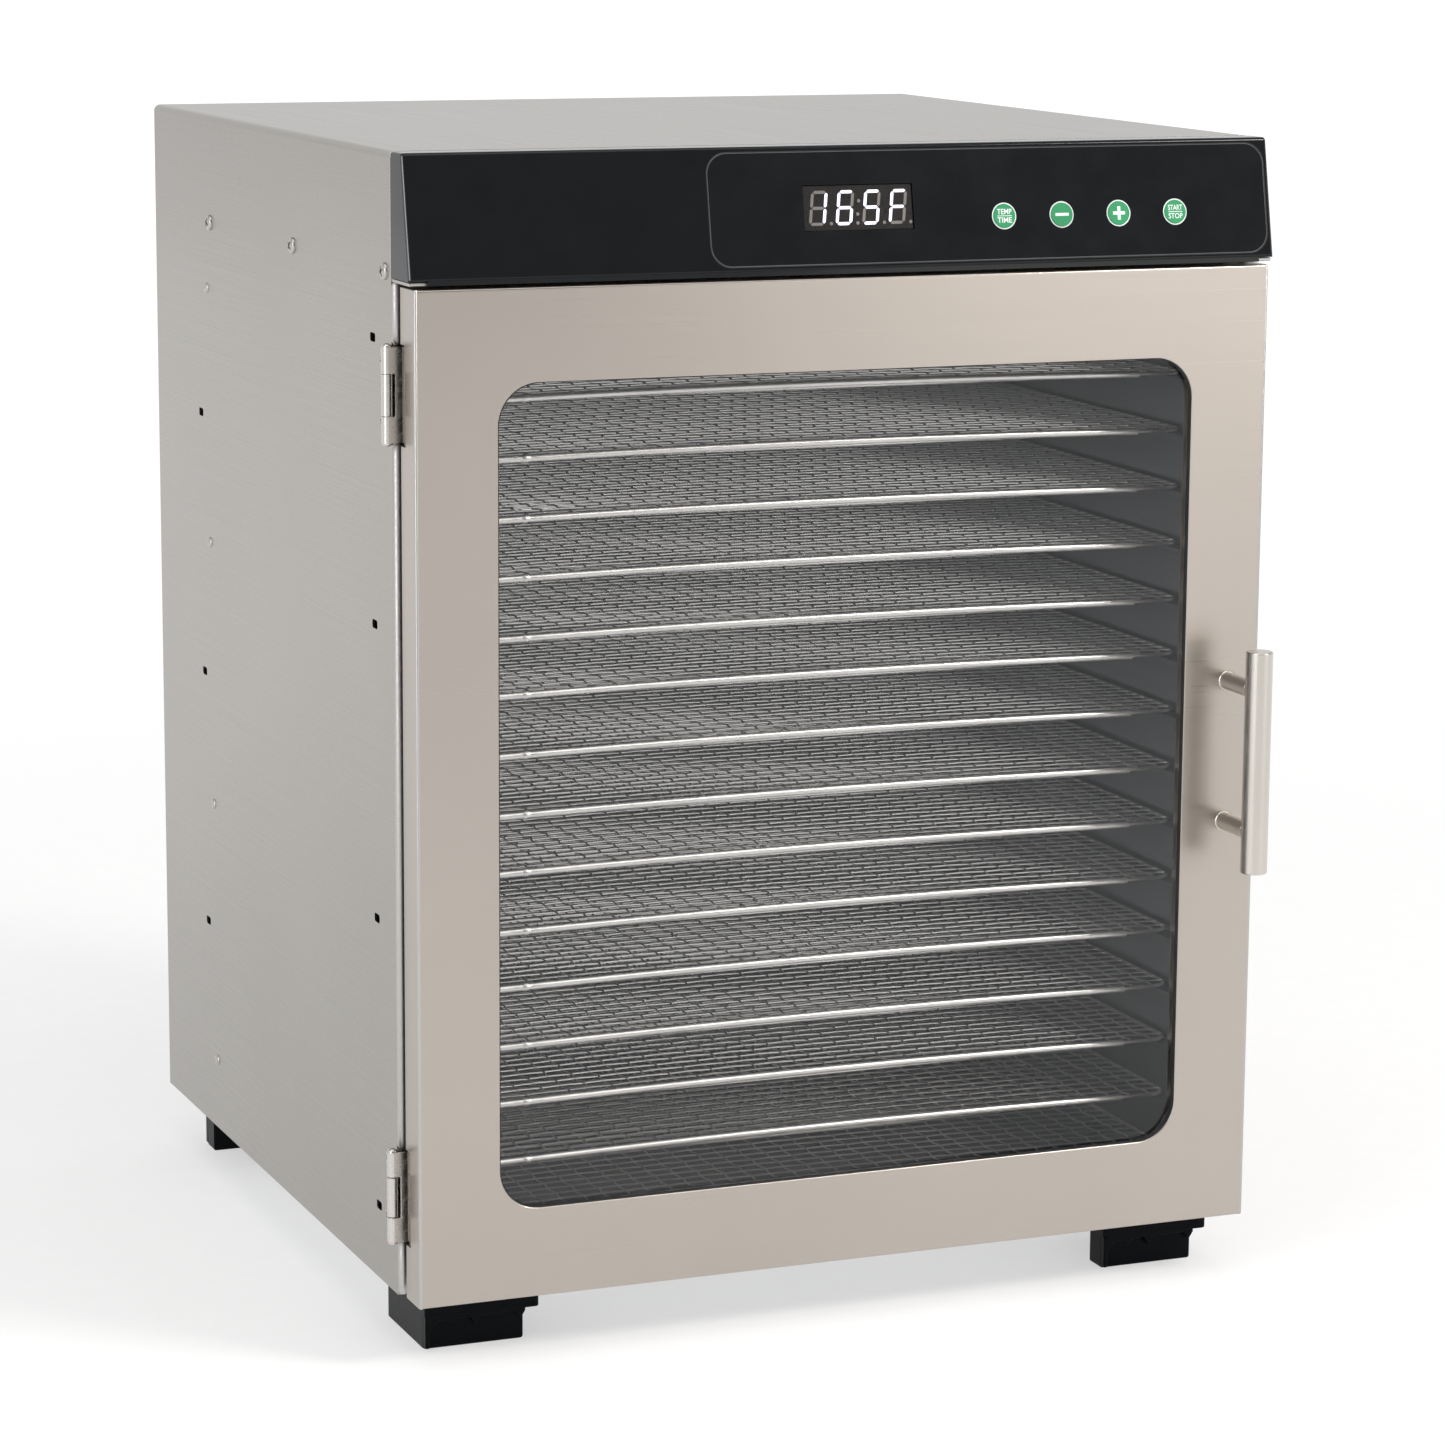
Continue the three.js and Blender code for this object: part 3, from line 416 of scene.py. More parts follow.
MATERIALS = {
    "shell": brushed_metal("shell_steel", (0.36, 0.341, 0.315), 0.25, "Y", wave=0.0008, grain_height=2e-7),
    "door": brushed_metal("door_steel", (0.47, 0.425, 0.385), 0.3, "X", wave=0.0001),
    "rear": brushed_metal("rear_steel", (0.45, 0.44, 0.42), 0.34, "X", wave=0.0006),
    "liner": brushed_metal("liner_steel", (0.31, 0.325, 0.35), 0.36, "Y", wave=0.0004),
    "handle": brushed_metal("handle_steel", (0.62, 0.585, 0.54), 0.24, "turned"),
    # lighter than the shell and door steel these rolled edges belong to: a painted highlight on the posts,
    # trims and door rolls
    "post": plain_metal("lightened_edge_steel", (0.50, 0.49, 0.475), 0.42, mottle=0.015, grain_height=0.000001),
    "hinge": plain_metal("hinge_steel", (0.60, 0.575, 0.545), 0.24, mottle=0.02),
    "wire": plain_metal("wire_steel", (0.68, 0.68, 0.675), 0.34, mottle=0.05, grain_height=0.000004),
    "screw": plain_metal("screw_steel", (0.50, 0.485, 0.465), 0.25, mottle=0.02),
    "zinc": spangled_zinc("zinc_sheet"),
    "heater": heated_sheath("heater_sheath"),
    "foot": moulded_plastic("foot_plastic", (0.0018, 0.0024, 0.0036), 0.3, gloss=0.06),
    "inlet": moulded_plastic("inlet_plastic", (0.014, 0.014, 0.016), 0.4),
    "fascia": gloss_plastic("fascia_gloss", (0.0062, 0.007, 0.0082), 0.13),
    # reflective metal on the fascia's black plastic corners: a painted highlight on their rounded edges
    "corner": plain_metal("corner_highlight_metal", (0.16, 0.165, 0.175), 0.22, mottle=0.03, grain_height=0.000001),
    "rim": gloss_plastic("overlay_edge_highlight", (0.09, 0.092, 0.095), 0.2),
    # the overlay rim's lighter grey is a painted highlight along the overlay's edge
    "overlay": gloss_plastic("overlay_film", (0.0068, 0.0074, 0.0086), 0.17),
    "window_frame": moulded_plastic("display_window", (0.010, 0.0088, 0.0082), 0.3, 0.00002, gloss=0.3),
    "unlit": moulded_plastic("unlit_segment", (0.15, 0.135, 0.125), 0.45, 0.00002),
    "lit": glowing("lit_segment", (0.84, 0.84, 1.0), 1.15),
    "green": moulded_plastic("button_green", (0.008, 0.24, 0.085), 0.38, 0.00002),
    "print": moulded_plastic("white_print", (0.72, 0.76, 0.74), 0.5, 0.00001),
    "board": circuit_board_material("board_mask"),
    "rubber": rubber("black_rubber"),
    "glass": window_glass_material("window_glass_pane"),
    "magnet": moulded_plastic("magnet_cover", (0.03, 0.03, 0.033), 0.5),
}


# ---------------------------------------------------------------- mesh helpers
def add_object(name, data):
    obj = bpy.data.objects.new(name, data)
    bpy.context.scene.collection.objects.link(obj)
    return obj


def piece(name, shape, material, body, matrix=None):
    """A finished piece from a mesh or bmesh in metres, placed by matrix, which rides on a body."""
    mesh = mesh_from(shape, name) if isinstance(shape, bmesh.types.BMesh) else shape
    if not mesh.materials:
        mesh.materials.append(MATERIALS[material])
    obj = add_object(name, mesh)
    if matrix is not None:
        obj.matrix_world = matrix
    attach(obj, body)
    return obj


def mesh_from(bm, name):
    """The finished mesh, shaded smooth except across sharp edges."""
    bmesh.ops.recalc_face_normals(bm, faces=bm.faces)
    for face in bm.faces:
        face.smooth = True
    for edge in bm.edges:
        edge.smooth = edge.is_manifold and edge.calc_face_angle(0) < SMOOTH_ANGLE
    mesh = bpy.data.meshes.new(name)
    bm.to_mesh(mesh)
    bm.free()
    return mesh


def smooth_copy(mesh):
    """The mesh shaded smooth, with its sharp edges kept sharp."""
    bm = bmesh.new()
    bm.from_mesh(mesh)
    name = mesh.name
    bpy.data.meshes.remove(mesh)
    return mesh_from(bm, name)


def join_rings(bm, rings):
    """Faces between each ring of corners and the next."""
    for first, second in zip(rings, rings[1:]):
        for step in range(len(first)):
            follow = (step + 1) % len(first)
            bm.faces.new((first[step], first[follow], second[follow], second[step]))


def add_circle(bm, radius, height, sides, matrix):
    """A ring of corners about z."""
    turns = [2 * math.pi * step / sides for step in range(sides)]
    places = [Vector((radius * math.cos(turn), radius * math.sin(turn), height)) for turn in turns]
    return [bm.verts.new(matrix @ place) for place in places]


def add_tube(bm, points, radius, sides=8, closed=False):
    """A round bar along points, in metres, with flat ends unless it is closed."""
    count = len(points)
    rings = []
    for index, point in enumerate(points):
        before = points[(index - 1) % count] if closed or index > 0 else point
        after = points[(index + 1) % count] if closed or index < count - 1 else point
        along = (after - before).normalized()
        side = along.cross(Vector((0, 0, 1)))
        if side.length < 0.1:
            side = along.cross(Vector((0, 1, 0)))
        side.normalize()
        top = side.cross(along)
        ring = []
        for step in range(sides):
            angle = 2 * math.pi * (step + 0.5) / sides
            ring.append(bm.verts.new(point + radius * (math.cos(angle) * side + math.sin(angle) * top)))
        rings.append(ring)
    if closed:
        rings.append(rings[0])
    join_rings(bm, rings)
    if not closed:
        bm.faces.new(rings[0][::-1])
        bm.faces.new(rings[-1])


def add_lathe(bm, profile, sides=24, matrix=Matrix.Identity(4)):
    """A turned solid about z from (radius, height) pairs; the profile starts and ends on the axis."""
    inner = [add_circle(bm, radius, height, sides, matrix) for radius, height in profile[1:-1]]
    join_rings(bm, inner)
    for (_, height), ring in ((profile[0], inner[0]), (profile[-1], inner[-1])):
        tip = bm.verts.new(matrix @ Vector((0, 0, height)))
        for step in range(sides):
            bm.faces.new((tip, ring[step], ring[(step + 1) % sides]))


def add_ring(bm, profile, sides, matrix):
    """A turned ring about z whose closed profile stays off the axis."""
    rings = [add_circle(bm, radius, height, sides, matrix) for radius, height in profile]
    join_rings(bm, [*rings, rings[0]])


def add_prism(bm, outline, low, high, matrix=Matrix.Identity(4)):
    """An outline in x and y, in metres, raised from low to high along z."""
    bottom = [bm.verts.new(matrix @ Vector((x, y, low))) for x, y in outline]
    top = [bm.verts.new(matrix @ Vector((x, y, high))) for x, y in outline]
    bm.faces.new(bottom[::-1])
    bm.faces.new(top)
    for index in range(len(outline)):
        follow = (index + 1) % len(outline)
        bm.faces.new((bottom[index], bottom[follow], top[follow], top[index]))


def arc(centre, radius, start, end, steps):
    """Points round an arc; angles in degrees."""
    turns = [math.radians(start + (end - start) * step / steps) for step in range(steps + 1)]
    return [(centre[0] + radius * math.cos(turn), centre[1] + radius * math.sin(turn)) for turn in turns]


def cross_outline(arm, wide, upright=True):
    """A plus sign, or a minus sign if it has no upright, from half its length and thickness."""
    if not upright:
        return [(-arm, -wide), (arm, -wide), (arm, wide), (-arm, wide)]
    return [(wide, -wide), (arm, -wide), (arm, wide), (wide, wide), (wide, arm), (-wide, arm),
            (-wide, wide), (-arm, wide), (-arm, -wide), (-wide, -wide), (-wide, -arm), (wide, -arm)]


def dome(radius, height, angles):
    """(radius, height) pairs over a domed top, from its rim up."""
    turns = [math.radians(angle) for angle in angles]
    return [(radius * math.cos(turn), height * math.sin(turn)) for turn in turns]


def rounded_outline(width, height, radius, steps=6, centre=(0, 0)):
    x, y = width / 2 - radius, height / 2 - radius
    points = []
    for sign_x, sign_y, start in ((1, -1, -90), (1, 1, 0), (-1, 1, 90), (-1, -1, 180)):
        corner = (centre[0] + sign_x * x, centre[1] + sign_y * y)
        points += arc(corner, radius, start, start + 90, steps)
    return points


def scratch_object(bm, name):
    mesh = bpy.data.meshes.new(name)
    bmesh.ops.recalc_face_normals(bm, faces=bm.faces)
    bm.to_mesh(mesh)
    bm.free()
    return add_object(name, mesh)


def evaluated_mesh(obj, name):
    """The mesh that obj has with its modifiers; obj itself is removed."""
    depsgraph = bpy.context.evaluated_depsgraph_get()
    mesh = bpy.data.meshes.new_from_object(obj.evaluated_get(depsgraph))
    mesh.name = name
    bpy.data.objects.remove(obj)
    return mesh


def boolean(base, tool, operation):
    modifier = base.modifiers.new(operation.lower(), "BOOLEAN")
    modifier.operation = operation
    modifier.solver = "EXACT"
    modifier.object = tool


def add_rounding(obj, width, segments=2):
    """Rounds the sharp edges; large flat faces stay flat, right up to the rounding."""
    bevel = obj.modifiers.new("rounding", "BEVEL")
    bevel.width = width
    bevel.segments = segments
    bevel.limit_method = "ANGLE"
    bevel.angle_limit = ROUNDED_ANGLE
    add_weighted_normals(obj)


def add_weighted_normals(obj):
    weighted = obj.modifiers.new("weighted_normals", "WEIGHTED_NORMAL")
    weighted.mode = "FACE_AREA"
    weighted.weight = 80
    weighted.keep_sharp = True


def add_edge_rounding(obj, width, segments=2):
    """Welds the faceted mesh, rounds its sharp edges and shades it as one smooth surface."""
    for polygon in obj.data.polygons:
        polygon.use_smooth = True
    weld = obj.modifiers.new("weld", "WELD")
    weld.merge_threshold = WELD_DISTANCE
    flatten = obj.modifiers.new("flatten", "DECIMATE")
    flatten.decimate_type = "DISSOLVE"
    flatten.angle_limit = FLAT_ANGLE
    add_rounding(obj, width, segments)


def finish_node(node, material, rounding, segments):
    """A CAD node that keeps its own shape gets its material and rounded edges."""
    obj = NODES[node]
    obj.data.materials.clear()
    obj.data.materials.append(MATERIALS[material])
    add_edge_rounding(obj, rounding * MM, segments)


# ---------------------------------------------------------------- fasteners
def turn_to(direction):
    """A rotation that takes z to the direction."""
    return Vector(direction).to_track_quat("Z", "Y").to_matrix().to_4x4()


def placed(point, direction, spin=0.0):
    return Matrix.Translation(Vector(point)) @ turn_to(direction) @ Matrix.Rotation(spin, 4, "Z")


def screw_mesh(name, radius, height):
    """A pan head with a cross recess, its underside at z = 0; sizes in millimetres."""
    radius, height = radius * MM, height * MM
    rim = 0.25 * height
    crown = [(x, rim + z) for x, z in dome(radius, height - rim, (0, 20, 40, 60, 75))]
    bm = bmesh.new()
    add_lathe(bm, [(0, 0), (radius, 0), *crown, (0, height)], sides=28)
    head = scratch_object(bm, name)
    bm = bmesh.new()
    recess = cross_outline(radius * 0.62, radius * 0.17)
    add_prism(bm, recess, height * 0.55, height * 1.5)
    cross = scratch_object(bm, "recess")
    boolean(head, cross, "DIFFERENCE")
    mesh = evaluated_mesh(head, name)
    bpy.data.objects.remove(cross)
    return smooth_copy(mesh)


def rivet_mesh(name):
    """A blind rivet's head with the hollow of its mandrel, its underside at z = 0."""
    bm = bmesh.new()
    radius, height = RIVET_RADIUS * MM, RIVET_HEIGHT * MM
    centre = [(radius * 0.22, height * 0.9), (radius * 0.18, height * 0.6), (0, height * 0.6)]
    add_lathe(bm, [(0, 0), *dome(radius, height, range(0, 76, 15)), *centre], sides=20)
    return mesh_from(bm, name)


def side_places(depth, heights):
    """(y, z) places on a side panel: depth from the front and heights from the top, in millimetres."""
    return [(SHELL_LOW.y + depth * MM, SHELL_HIGH.z - height * MM) for height in heights]


SIDE_SCREWS = [side_places(depth, [50])[0] for depth in (9, 141, 275)]
REAR_RIVETS = side_places(282, [81, 202, 329, 456])
REAR_SLOTS = side_places(294, [141, 266, 389])
FRONT_SLOTS = side_places(25.5, [79, 201, 329, 457])


def side_fasteners():
    screw = screw_mesh("side_screw", *SIDE_SCREW)
    rivet = rivet_mesh("side_rivet")
    for side, x, out in (("left", SHELL_LOW.x, -1), ("right", SHELL_HIGH.x, 1)):
        for index, (y, z) in enumerate(SIDE_SCREWS, 1):
            matrix = placed((x, y, z), (out, 0, 0), spin=0.4 * index)
            piece(f"side_screw_{side}_{index}", screw, "screw", "cabinet", matrix)
        for index, (y, z) in enumerate(REAR_RIVETS, 1):
            matrix = placed((x, y, z), (out, 0, 0))
            piece(f"side_rivet_{side}_{index}", rivet, "screw", "cabinet", matrix)


def rear_fasteners():
    """Screws round the rear panel and at the power inlet."""
    low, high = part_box("rear_panel")
    screw = screw_mesh("rear_screw", *REAR_SCREW)
    inset = REAR_SCREW_INSET * MM
    heights = [low.z + inset + (high.z - low.z - 2 * inset) * step / 4 for step in range(5)]
    places = [(x, z) for x in (low.x + inset, high.x - inset) for z in heights]
    places += [(CENTRE_X + offset, z) for offset in (-0.09, 0.09) for z in (heights[0], heights[-1])]
    bracket_low, bracket_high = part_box("motor_bracket")
    bracket_z = middle_of("motor_bracket").z
    places += [(x, bracket_z) for x in (bracket_low.x + inset * 0.8, bracket_high.x - inset * 0.8)]
    for index, (x, z) in enumerate(places, 1):
        matrix = placed((x, high.y, z), (0, 1, 0), spin=0.3 * index)
        piece(f"rear_screw_{index}", screw, "screw", "cabinet", matrix)
    inlet_low, inlet_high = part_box("power_inlet")
    small = screw_mesh("inlet_screw", *INLET_SCREW)
    inlet_z = middle_of("power_inlet").z
    for index, x in enumerate((inlet_low.x + 5.5 * MM, inlet_high.x - 5.5 * MM), 1):
        matrix = placed((x, inlet_high.y - 0.6 * MM, inlet_z), (0, 1, 0), spin=0.5 * index)
        piece(f"inlet_screw_{index}", small, "screw", "cabinet", matrix)


# ---------------------------------------------------------------- cabinet
def welded_node(node):
    """A bmesh of the CAD node with shared corners and whole flat faces."""
    bm = bmesh.new()
    bm.from_mesh(NODES[node].data)
    bmesh.ops.remove_doubles(bm, verts=bm.verts, dist=WELD_DISTANCE)
    bmesh.ops.dissolve_limit(bm, angle_limit=FLAT_ANGLE, verts=bm.verts, edges=bm.edges)
    return bm


def round_edges(bm, chosen, radius, segments):
    edges = [edge for edge in bm.edges if chosen(edge)]
    bmesh.ops.bevel(bm, geom=edges, offset=radius, segments=segments, profile=0.5, affect="EDGES",
                    clamp_overlap=True)


def near(value, target):
    return abs(value - target) < NEAR


def is_post_edge(edge):
    """The shell's two upright front corners."""
    def corner(v):
        return near(v.y, SHELL_LOW.y) and (near(v.x, SHELL_LOW.x) or near(v.x, SHELL_HIGH.x))
    a, b = (vert.co for vert in edge.verts)
    return corner(a) and corner(b) and abs(a.z - b.z) > 0.1


def is_door_edge(edge):
    """The four outer edges of the door's front."""
    def outer(v):
        side = near(v.x, DOOR_LOW.x) or near(v.x, DOOR_HIGH.x)
        return side and near(v.y, DOOR_LOW.y) and (near(v.z, DOOR_LOW.z) or near(v.z, DOOR_HIGH.z))
    return all(outer(vert.co) for vert in edge.verts)


def is_fascia_edge(edge):
    """The front and side edges of the fascia's outside."""
    def outer(v):
        side = near(v.x, FASCIA_LOW.x) or near(v.x, FASCIA_HIGH.x)
        return side and (abs((FACE_INVERSE @ v).z) < FACE_NEAR or near(v.z, FASCIA_HIGH.z))
    return all(outer(vert.co) for vert in edge.verts)


def refined_node(node, chosen, radius, material, body):
    """The CAD node with its chosen edges rounded more than the rest; it stands for the node."""
    bm = welded_node(node)
    round_edges(bm, chosen, radius * MM, 5)
    obj = piece(node + "_sheet", bm, material, body)
    add_rounding(obj, SHEET_ROUND * MM)
    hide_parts(node)


def outer_shell():
    """The folded shell with rounded bends and its tab slots cut through both sides."""
    bm = welded_node("outer_shell")
    round_edges(bm, is_post_edge, POST_BEND * MM, 6)
    rounded = scratch_object(bm, "shell_scratch")
    add_edge_rounding(rounded, SHELL_BEND * MM, 2)
    bm = bmesh.new()
    outline = rounded_outline(SLOT_LENGTH * MM, SLOT_HEIGHT * MM, SLOT_CORNER * MM, 4)
    for x in (SHELL_LOW.x, SHELL_HIGH.x):
        for y, z in REAR_SLOTS + FRONT_SLOTS:
            add_prism(bm, outline, -SLOT_REACH * MM, SLOT_REACH * MM, placed((x, y, z), (1, 0, 0)))
    tool = scratch_object(bm, "slot_tool")
    boolean(rounded, tool, "DIFFERENCE")
    mesh = evaluated_mesh(rounded, "shell_sheet")
    bpy.data.objects.remove(tool)
    obj = piece("shell_sheet", smooth_copy(mesh), "shell", "cabinet")
    add_weighted_normals(obj)
    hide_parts("outer_shell")


# ---------------------------------------------------------------- feet
def foot_mesh(name, side_right, end_rear):
    """A foot with its outer corner at the given sides; origin at its lowest left front corner."""
    size = size_of("foot_front_left") / MM
    body = size.x - FOOT_OVERHANG
    shoulder = size.z - FOOT_PLATE
    wall = FOOT_WALL
    small = FOOT_CORNER
    rim_width = FOOT_RECESS_RIM
    end = [
        *arc((small, small), small, 270, 180, 4),
        (0, shoulder + 1), (body + FOOT_FLARE, shoulder + 1),
        *arc((body + FOOT_FLARE, shoulder - FOOT_FLARE), FOOT_FLARE, 90, 180, 6),
        *arc((body - small, small), small, 0, -90, 4),
    ]
    rim = [
        (0, 1), (rim_width, 1), (rim_width, shoulder - 9),
        *arc((rim_width + 6.5, shoulder - 8), 6.5, 180, 55, 8),
        (13.2, shoulder - 3.6), (14.6, shoulder - 1.6), (body / 2 - 2.4, shoulder - 1.1),
        (body / 2, shoulder - 5.4), (body / 2 + 2.4, shoulder - 1.1), (body - 5, shoulder - 1),
        (body - 2.2, shoulder - 4.6), (body, shoulder - 1.2), (body, shoulder + 1), (0, shoulder + 1),
    ]
    side_x = body - wall if side_right else 0
    plate = rounded_outline(size.x, size.y, 2, 4, (size.x / 2, size.y / 2))
    mirror = Matrix.Diagonal((1, -1 if end_rear else 1, 1, 1))
    place = Matrix.Translation((0, size.y * MM if end_rear else 0, 0)) @ mirror @ Matrix.Scale(MM, 4)
    upright = place @ Matrix.Rotation(math.radians(90), 4, "X")
    bm = bmesh.new()
    add_prism(bm, end, -wall, -FOOT_RECESS, upright)
    add_prism(bm, rim, -FOOT_RECESS - 0.5, -0.1, upright)
    add_prism(bm, plate, shoulder, size.z, place)
    side_start = FOOT_RECESS + 1.0
    side_deep = size.y - side_start - 0.2
    side_centre = (side_x + wall / 2, side_start + side_deep / 2)
    side = rounded_outline(wall - 0.2, side_deep, small, 3, side_centre)
    add_prism(bm, side, 0, shoulder + 1, place)
    return mesh_from(bm, name)


def feet():
    """Four feet, each with its outer corner toward the cabinet's corner as the CAD has it."""
    for node, side_right, end_rear in (
        ("foot_front_left", False, False), ("foot_front_right", True, False),
        ("foot_rear_left", True, True), ("foot_rear_right", False, True),
    ):
        mesh = foot_mesh(node + "_moulding", side_right, end_rear)
        matrix = Matrix.Translation(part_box(node)[0])
        obj = piece(node + "_moulding", mesh, "foot", "cabinet", matrix)
        add_rounding(obj, FOOT_ROUND * MM)
        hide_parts(node)


# ---------------------------------------------------------------- trays
def tray_mesh():
    """A rim of round bar with woven wires across it, centred on the origin."""
    size = size_of("tray_01")
    across, deep = size.x / 2 - RIM_RADIUS * MM, size.y / 2 - RIM_RADIUS * MM
    bm = bmesh.new()
    outline = rounded_outline(2 * across, 2 * deep, RIM_CORNER * MM, 6)
    add_tube(bm, [Vector((x, y, 0.3 * MM)) for x, y in outline], FRAME_WIRE_RADIUS * MM, 8, closed=True)
    reach = across - BAR_INSET * MM
    for y in (-deep, deep):
        steps = [reach * (step / 12 - 1) for step in range(25)]
        add_tube(bm, [Vector((x, y, 0)) for x in steps], RIM_RADIUS * MM, 14)
    columns = round(2 * across / (WIRE_PITCH_ACROSS * MM)) - 1
    rows = round(2 * deep / (WIRE_PITCH_DEEP * MM)) - 1
    xs = [-across + (index + 1) * 2 * across / (columns + 1) for index in range(columns)]
    ys = [-deep + (index + 1) * 2 * deep / (rows + 1) for index in range(rows)]
    lift = MESH_LIFT * MM
    for row, y in enumerate(ys):
        points = [Vector((-across, y, lift))]
        points += [
            Vector((x, y, lift + (-1) ** (row + column) * CROSS_WAVE * MM)) for column, x in enumerate(xs)]
        points.append(Vector((across, y, lift)))
        add_tube(bm, points, WIRE_RADIUS * MM, 5)
    for column, x in enumerate(xs):
        points = [Vector((x, -deep, lift + WIRE_RADIUS * MM))]
        points += [
            Vector((x, y, lift - (DEEP_SINK + (-1) ** (row + column) * DEEP_WAVE) * MM))
            for row, y in enumerate(ys)]
        points.append(Vector((x, deep, lift)))
        add_tube(bm, points, WIRE_RADIUS * MM, 5)
    bead = placed((-across + 38 * MM, -deep, 0), (1, 0, 0))
    swell = [(0, -2.2 * MM), (1.6 * MM, -2 * MM), (2.0 * MM, -0.6 * MM), (1.9 * MM, 0.5 * MM),
             (1.6 * MM, 2 * MM), (0, 2.2 * MM)]
    add_lathe(bm, swell, 12, bead)
    for vert in bm.verts:
        vert.co.z += TRAY_BOW * MM * (1 - (vert.co.x / across) ** 2)
    return mesh_from(bm, "woven_tray")


def trays():
    mesh = tray_mesh()
    tilts = random.Random(5)
    for node in sorted(name for name in NODES if name.startswith("tray_")):
        middle = middle_of(node)
        tilt = tilts.uniform(-TRAY_TILT, TRAY_TILT)
        matrix = Matrix.Translation(middle) @ Matrix.Rotation(tilt, 4, "X")
        obj = piece(node + "_weave", mesh, "wire", node, matrix)
        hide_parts(node)


# ---------------------------------------------------------------- controls
SEGMENTS = {
    "a": ((-1, 1), (1, 1)), "b": ((1, 1), (1, 0)), "c": ((1, 0), (1, -1)), "d": ((-1, -1), (1, -1)),
    "e": ((-1, 0), (-1, -1)), "f": ((-1, 1), (-1, 0)), "g": ((-1, 0), (1, 0)),
}
DIGITS = {"1": "bc", "6": "acdefg", "5": "acdfg", "F": "aefg"}


def segment_outline(start, end):
    """A six-sided bar between two corners of the digit, in millimetres before the digit's slant."""
    half_width = (DIGIT_WIDTH - SEGMENT_THICKNESS) / 2
    half_height = (DIGIT_HEIGHT - SEGMENT_THICKNESS) / 2
    a = Vector((start[0] * half_width, start[1] * half_height))
    b = Vector((end[0] * half_width, end[1] * half_height))
    along = (b - a).normalized()
    side = Vector((-along.y, along.x)) * SEGMENT_THICKNESS / 2
    shoulder = along * SEGMENT_THICKNESS / 2
    a, b = a + along * SEGMENT_GAP, b - along * SEGMENT_GAP
    corners = [a, a + shoulder - side, b - shoulder - side, b, b - shoulder + side, a + shoulder + side]
    return [((p.x + p.y * DIGIT_SLANT) * MM, p.y * MM) for p in corners]


def dot_outline(x, y):
    return arc((x * MM, y * MM), DOT_RADIUS * MM, 0, 330, 11)


def display_module():
    """The four-digit display: a dark block and raised segments, some of them lit."""
    centre = FACE_INVERSE @ middle_of("display")
    place = FACE @ Matrix.Translation((centre.x, 0, 0))
    front = -DISPLAY_SINK * MM
    block = rounded_outline(size_of("display").x, DISPLAY_HEIGHT * MM, 0.4 * MM, 2)
    bm = bmesh.new()
    add_prism(bm, block, front - DISPLAY_DEPTH * MM, front, place)
    body = piece("display_block", bm, "window_frame", "cabinet")
    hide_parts("display")
    groups = {"unlit": bmesh.new(), "lit": bmesh.new()}
    root = front - SEGMENT_ROOT * MM
    top = {state: front + proud * MM for state, proud in SEGMENT_PROUD.items()}
    for index, character in enumerate(DISPLAY_TEXT):
        shift = (index - (len(DISPLAY_TEXT) - 1) / 2) * DIGIT_PITCH * MM
        matrix = place @ Matrix.Translation((shift, 0, 0))
        for letter, (start, end) in SEGMENTS.items():
            state = "lit" if letter in DIGITS[character] else "unlit"
            add_prism(groups[state], segment_outline(start, end), root, top[state], matrix)
        dot = dot_outline(DOT_ASIDE, 0.8 - DIGIT_HEIGHT / 2)
        add_prism(groups["unlit"], dot, root, top["unlit"], matrix)
    for rise in (-COLON_RISE, COLON_RISE):
        add_prism(groups["unlit"], dot_outline(rise * DIGIT_SLANT, rise), root, top["unlit"], place)
    for state, bm in groups.items():
        name = f"display_segments_{state}"
        piece(name, bm, state, "cabinet")


def add_text(name, text, width, height, middle_y, matrix, body):
    """A word of the given size standing a hair above the surface; matrix places its z = 0 plane."""
    curve = bpy.data.curves.new(name, "FONT")
    curve.body = text
    curve.size = 1.0
    curve.extrude = 0.5
    curve.offset = 0.012
    curve.resolution_u = 3
    mesh = evaluated_mesh(add_object(name + "_scratch", curve), name)
    mesh.materials.clear()
    low, high = extents(vert.co for vert in mesh.vertices)
    size = high - low
    fit = Matrix.Diagonal((width / size.x, height / size.y, PRINT_THICK * 2 * MM, 1))
    place = Matrix.Translation((0, middle_y, 0))
    mesh.transform(matrix @ place @ fit @ Matrix.Translation(-(low + high) / 2))
    piece(name, mesh, "print", body)


def button_prints():
    """The white ring round each button, and the sign or words printed on it."""
    thick = PRINT_THICK * MM
    inner, outer = RING_INNER * MM, RING_OUTER * MM
    overlay_top = face_extents("overlay")[1].z
    rule = rounded_outline(WORD_WIDTH * MM, RULE_THICK * MM, 0.1 * MM, 2)
    minus = cross_outline(MINUS_HALF[0] * MM, MINUS_HALF[1] * MM, upright=False)
    plus = cross_outline(PLUS_HALF[0] * MM, PLUS_HALF[1] * MM)
    signs = {"button_mode": rule, "button_minus": minus, "button_plus": plus, "button_start_stop": rule}
    for node, sign in signs.items():
        low, high = face_extents(node)
        centre = (low + high) / 2
        matrix = FACE @ Matrix.Translation((centre.x, centre.y, high.z))
        overlay_matrix = FACE @ Matrix.Translation((centre.x, centre.y, overlay_top))
        bm = bmesh.new()
        add_ring(bm, [(inner, 0), (outer, 0), (outer, thick), (inner, thick)], 48, overlay_matrix)
        piece(node + "_ring", bm, "print", "cabinet")
        bm = bmesh.new()
        add_prism(bm, sign, -thick, thick, matrix)
        piece(node + "_sign", bm, "print", node)
        for word, side in zip(WORDS.get(node, ()), (1, -1)):
            name = f"{node}_{word.lower()}"
            middle_y = side * (WORD_HEIGHT / 2 + WORD_GAP) * MM
            add_text(name, word, WORD_WIDTH * MM, WORD_HEIGHT * MM, middle_y, matrix, node)


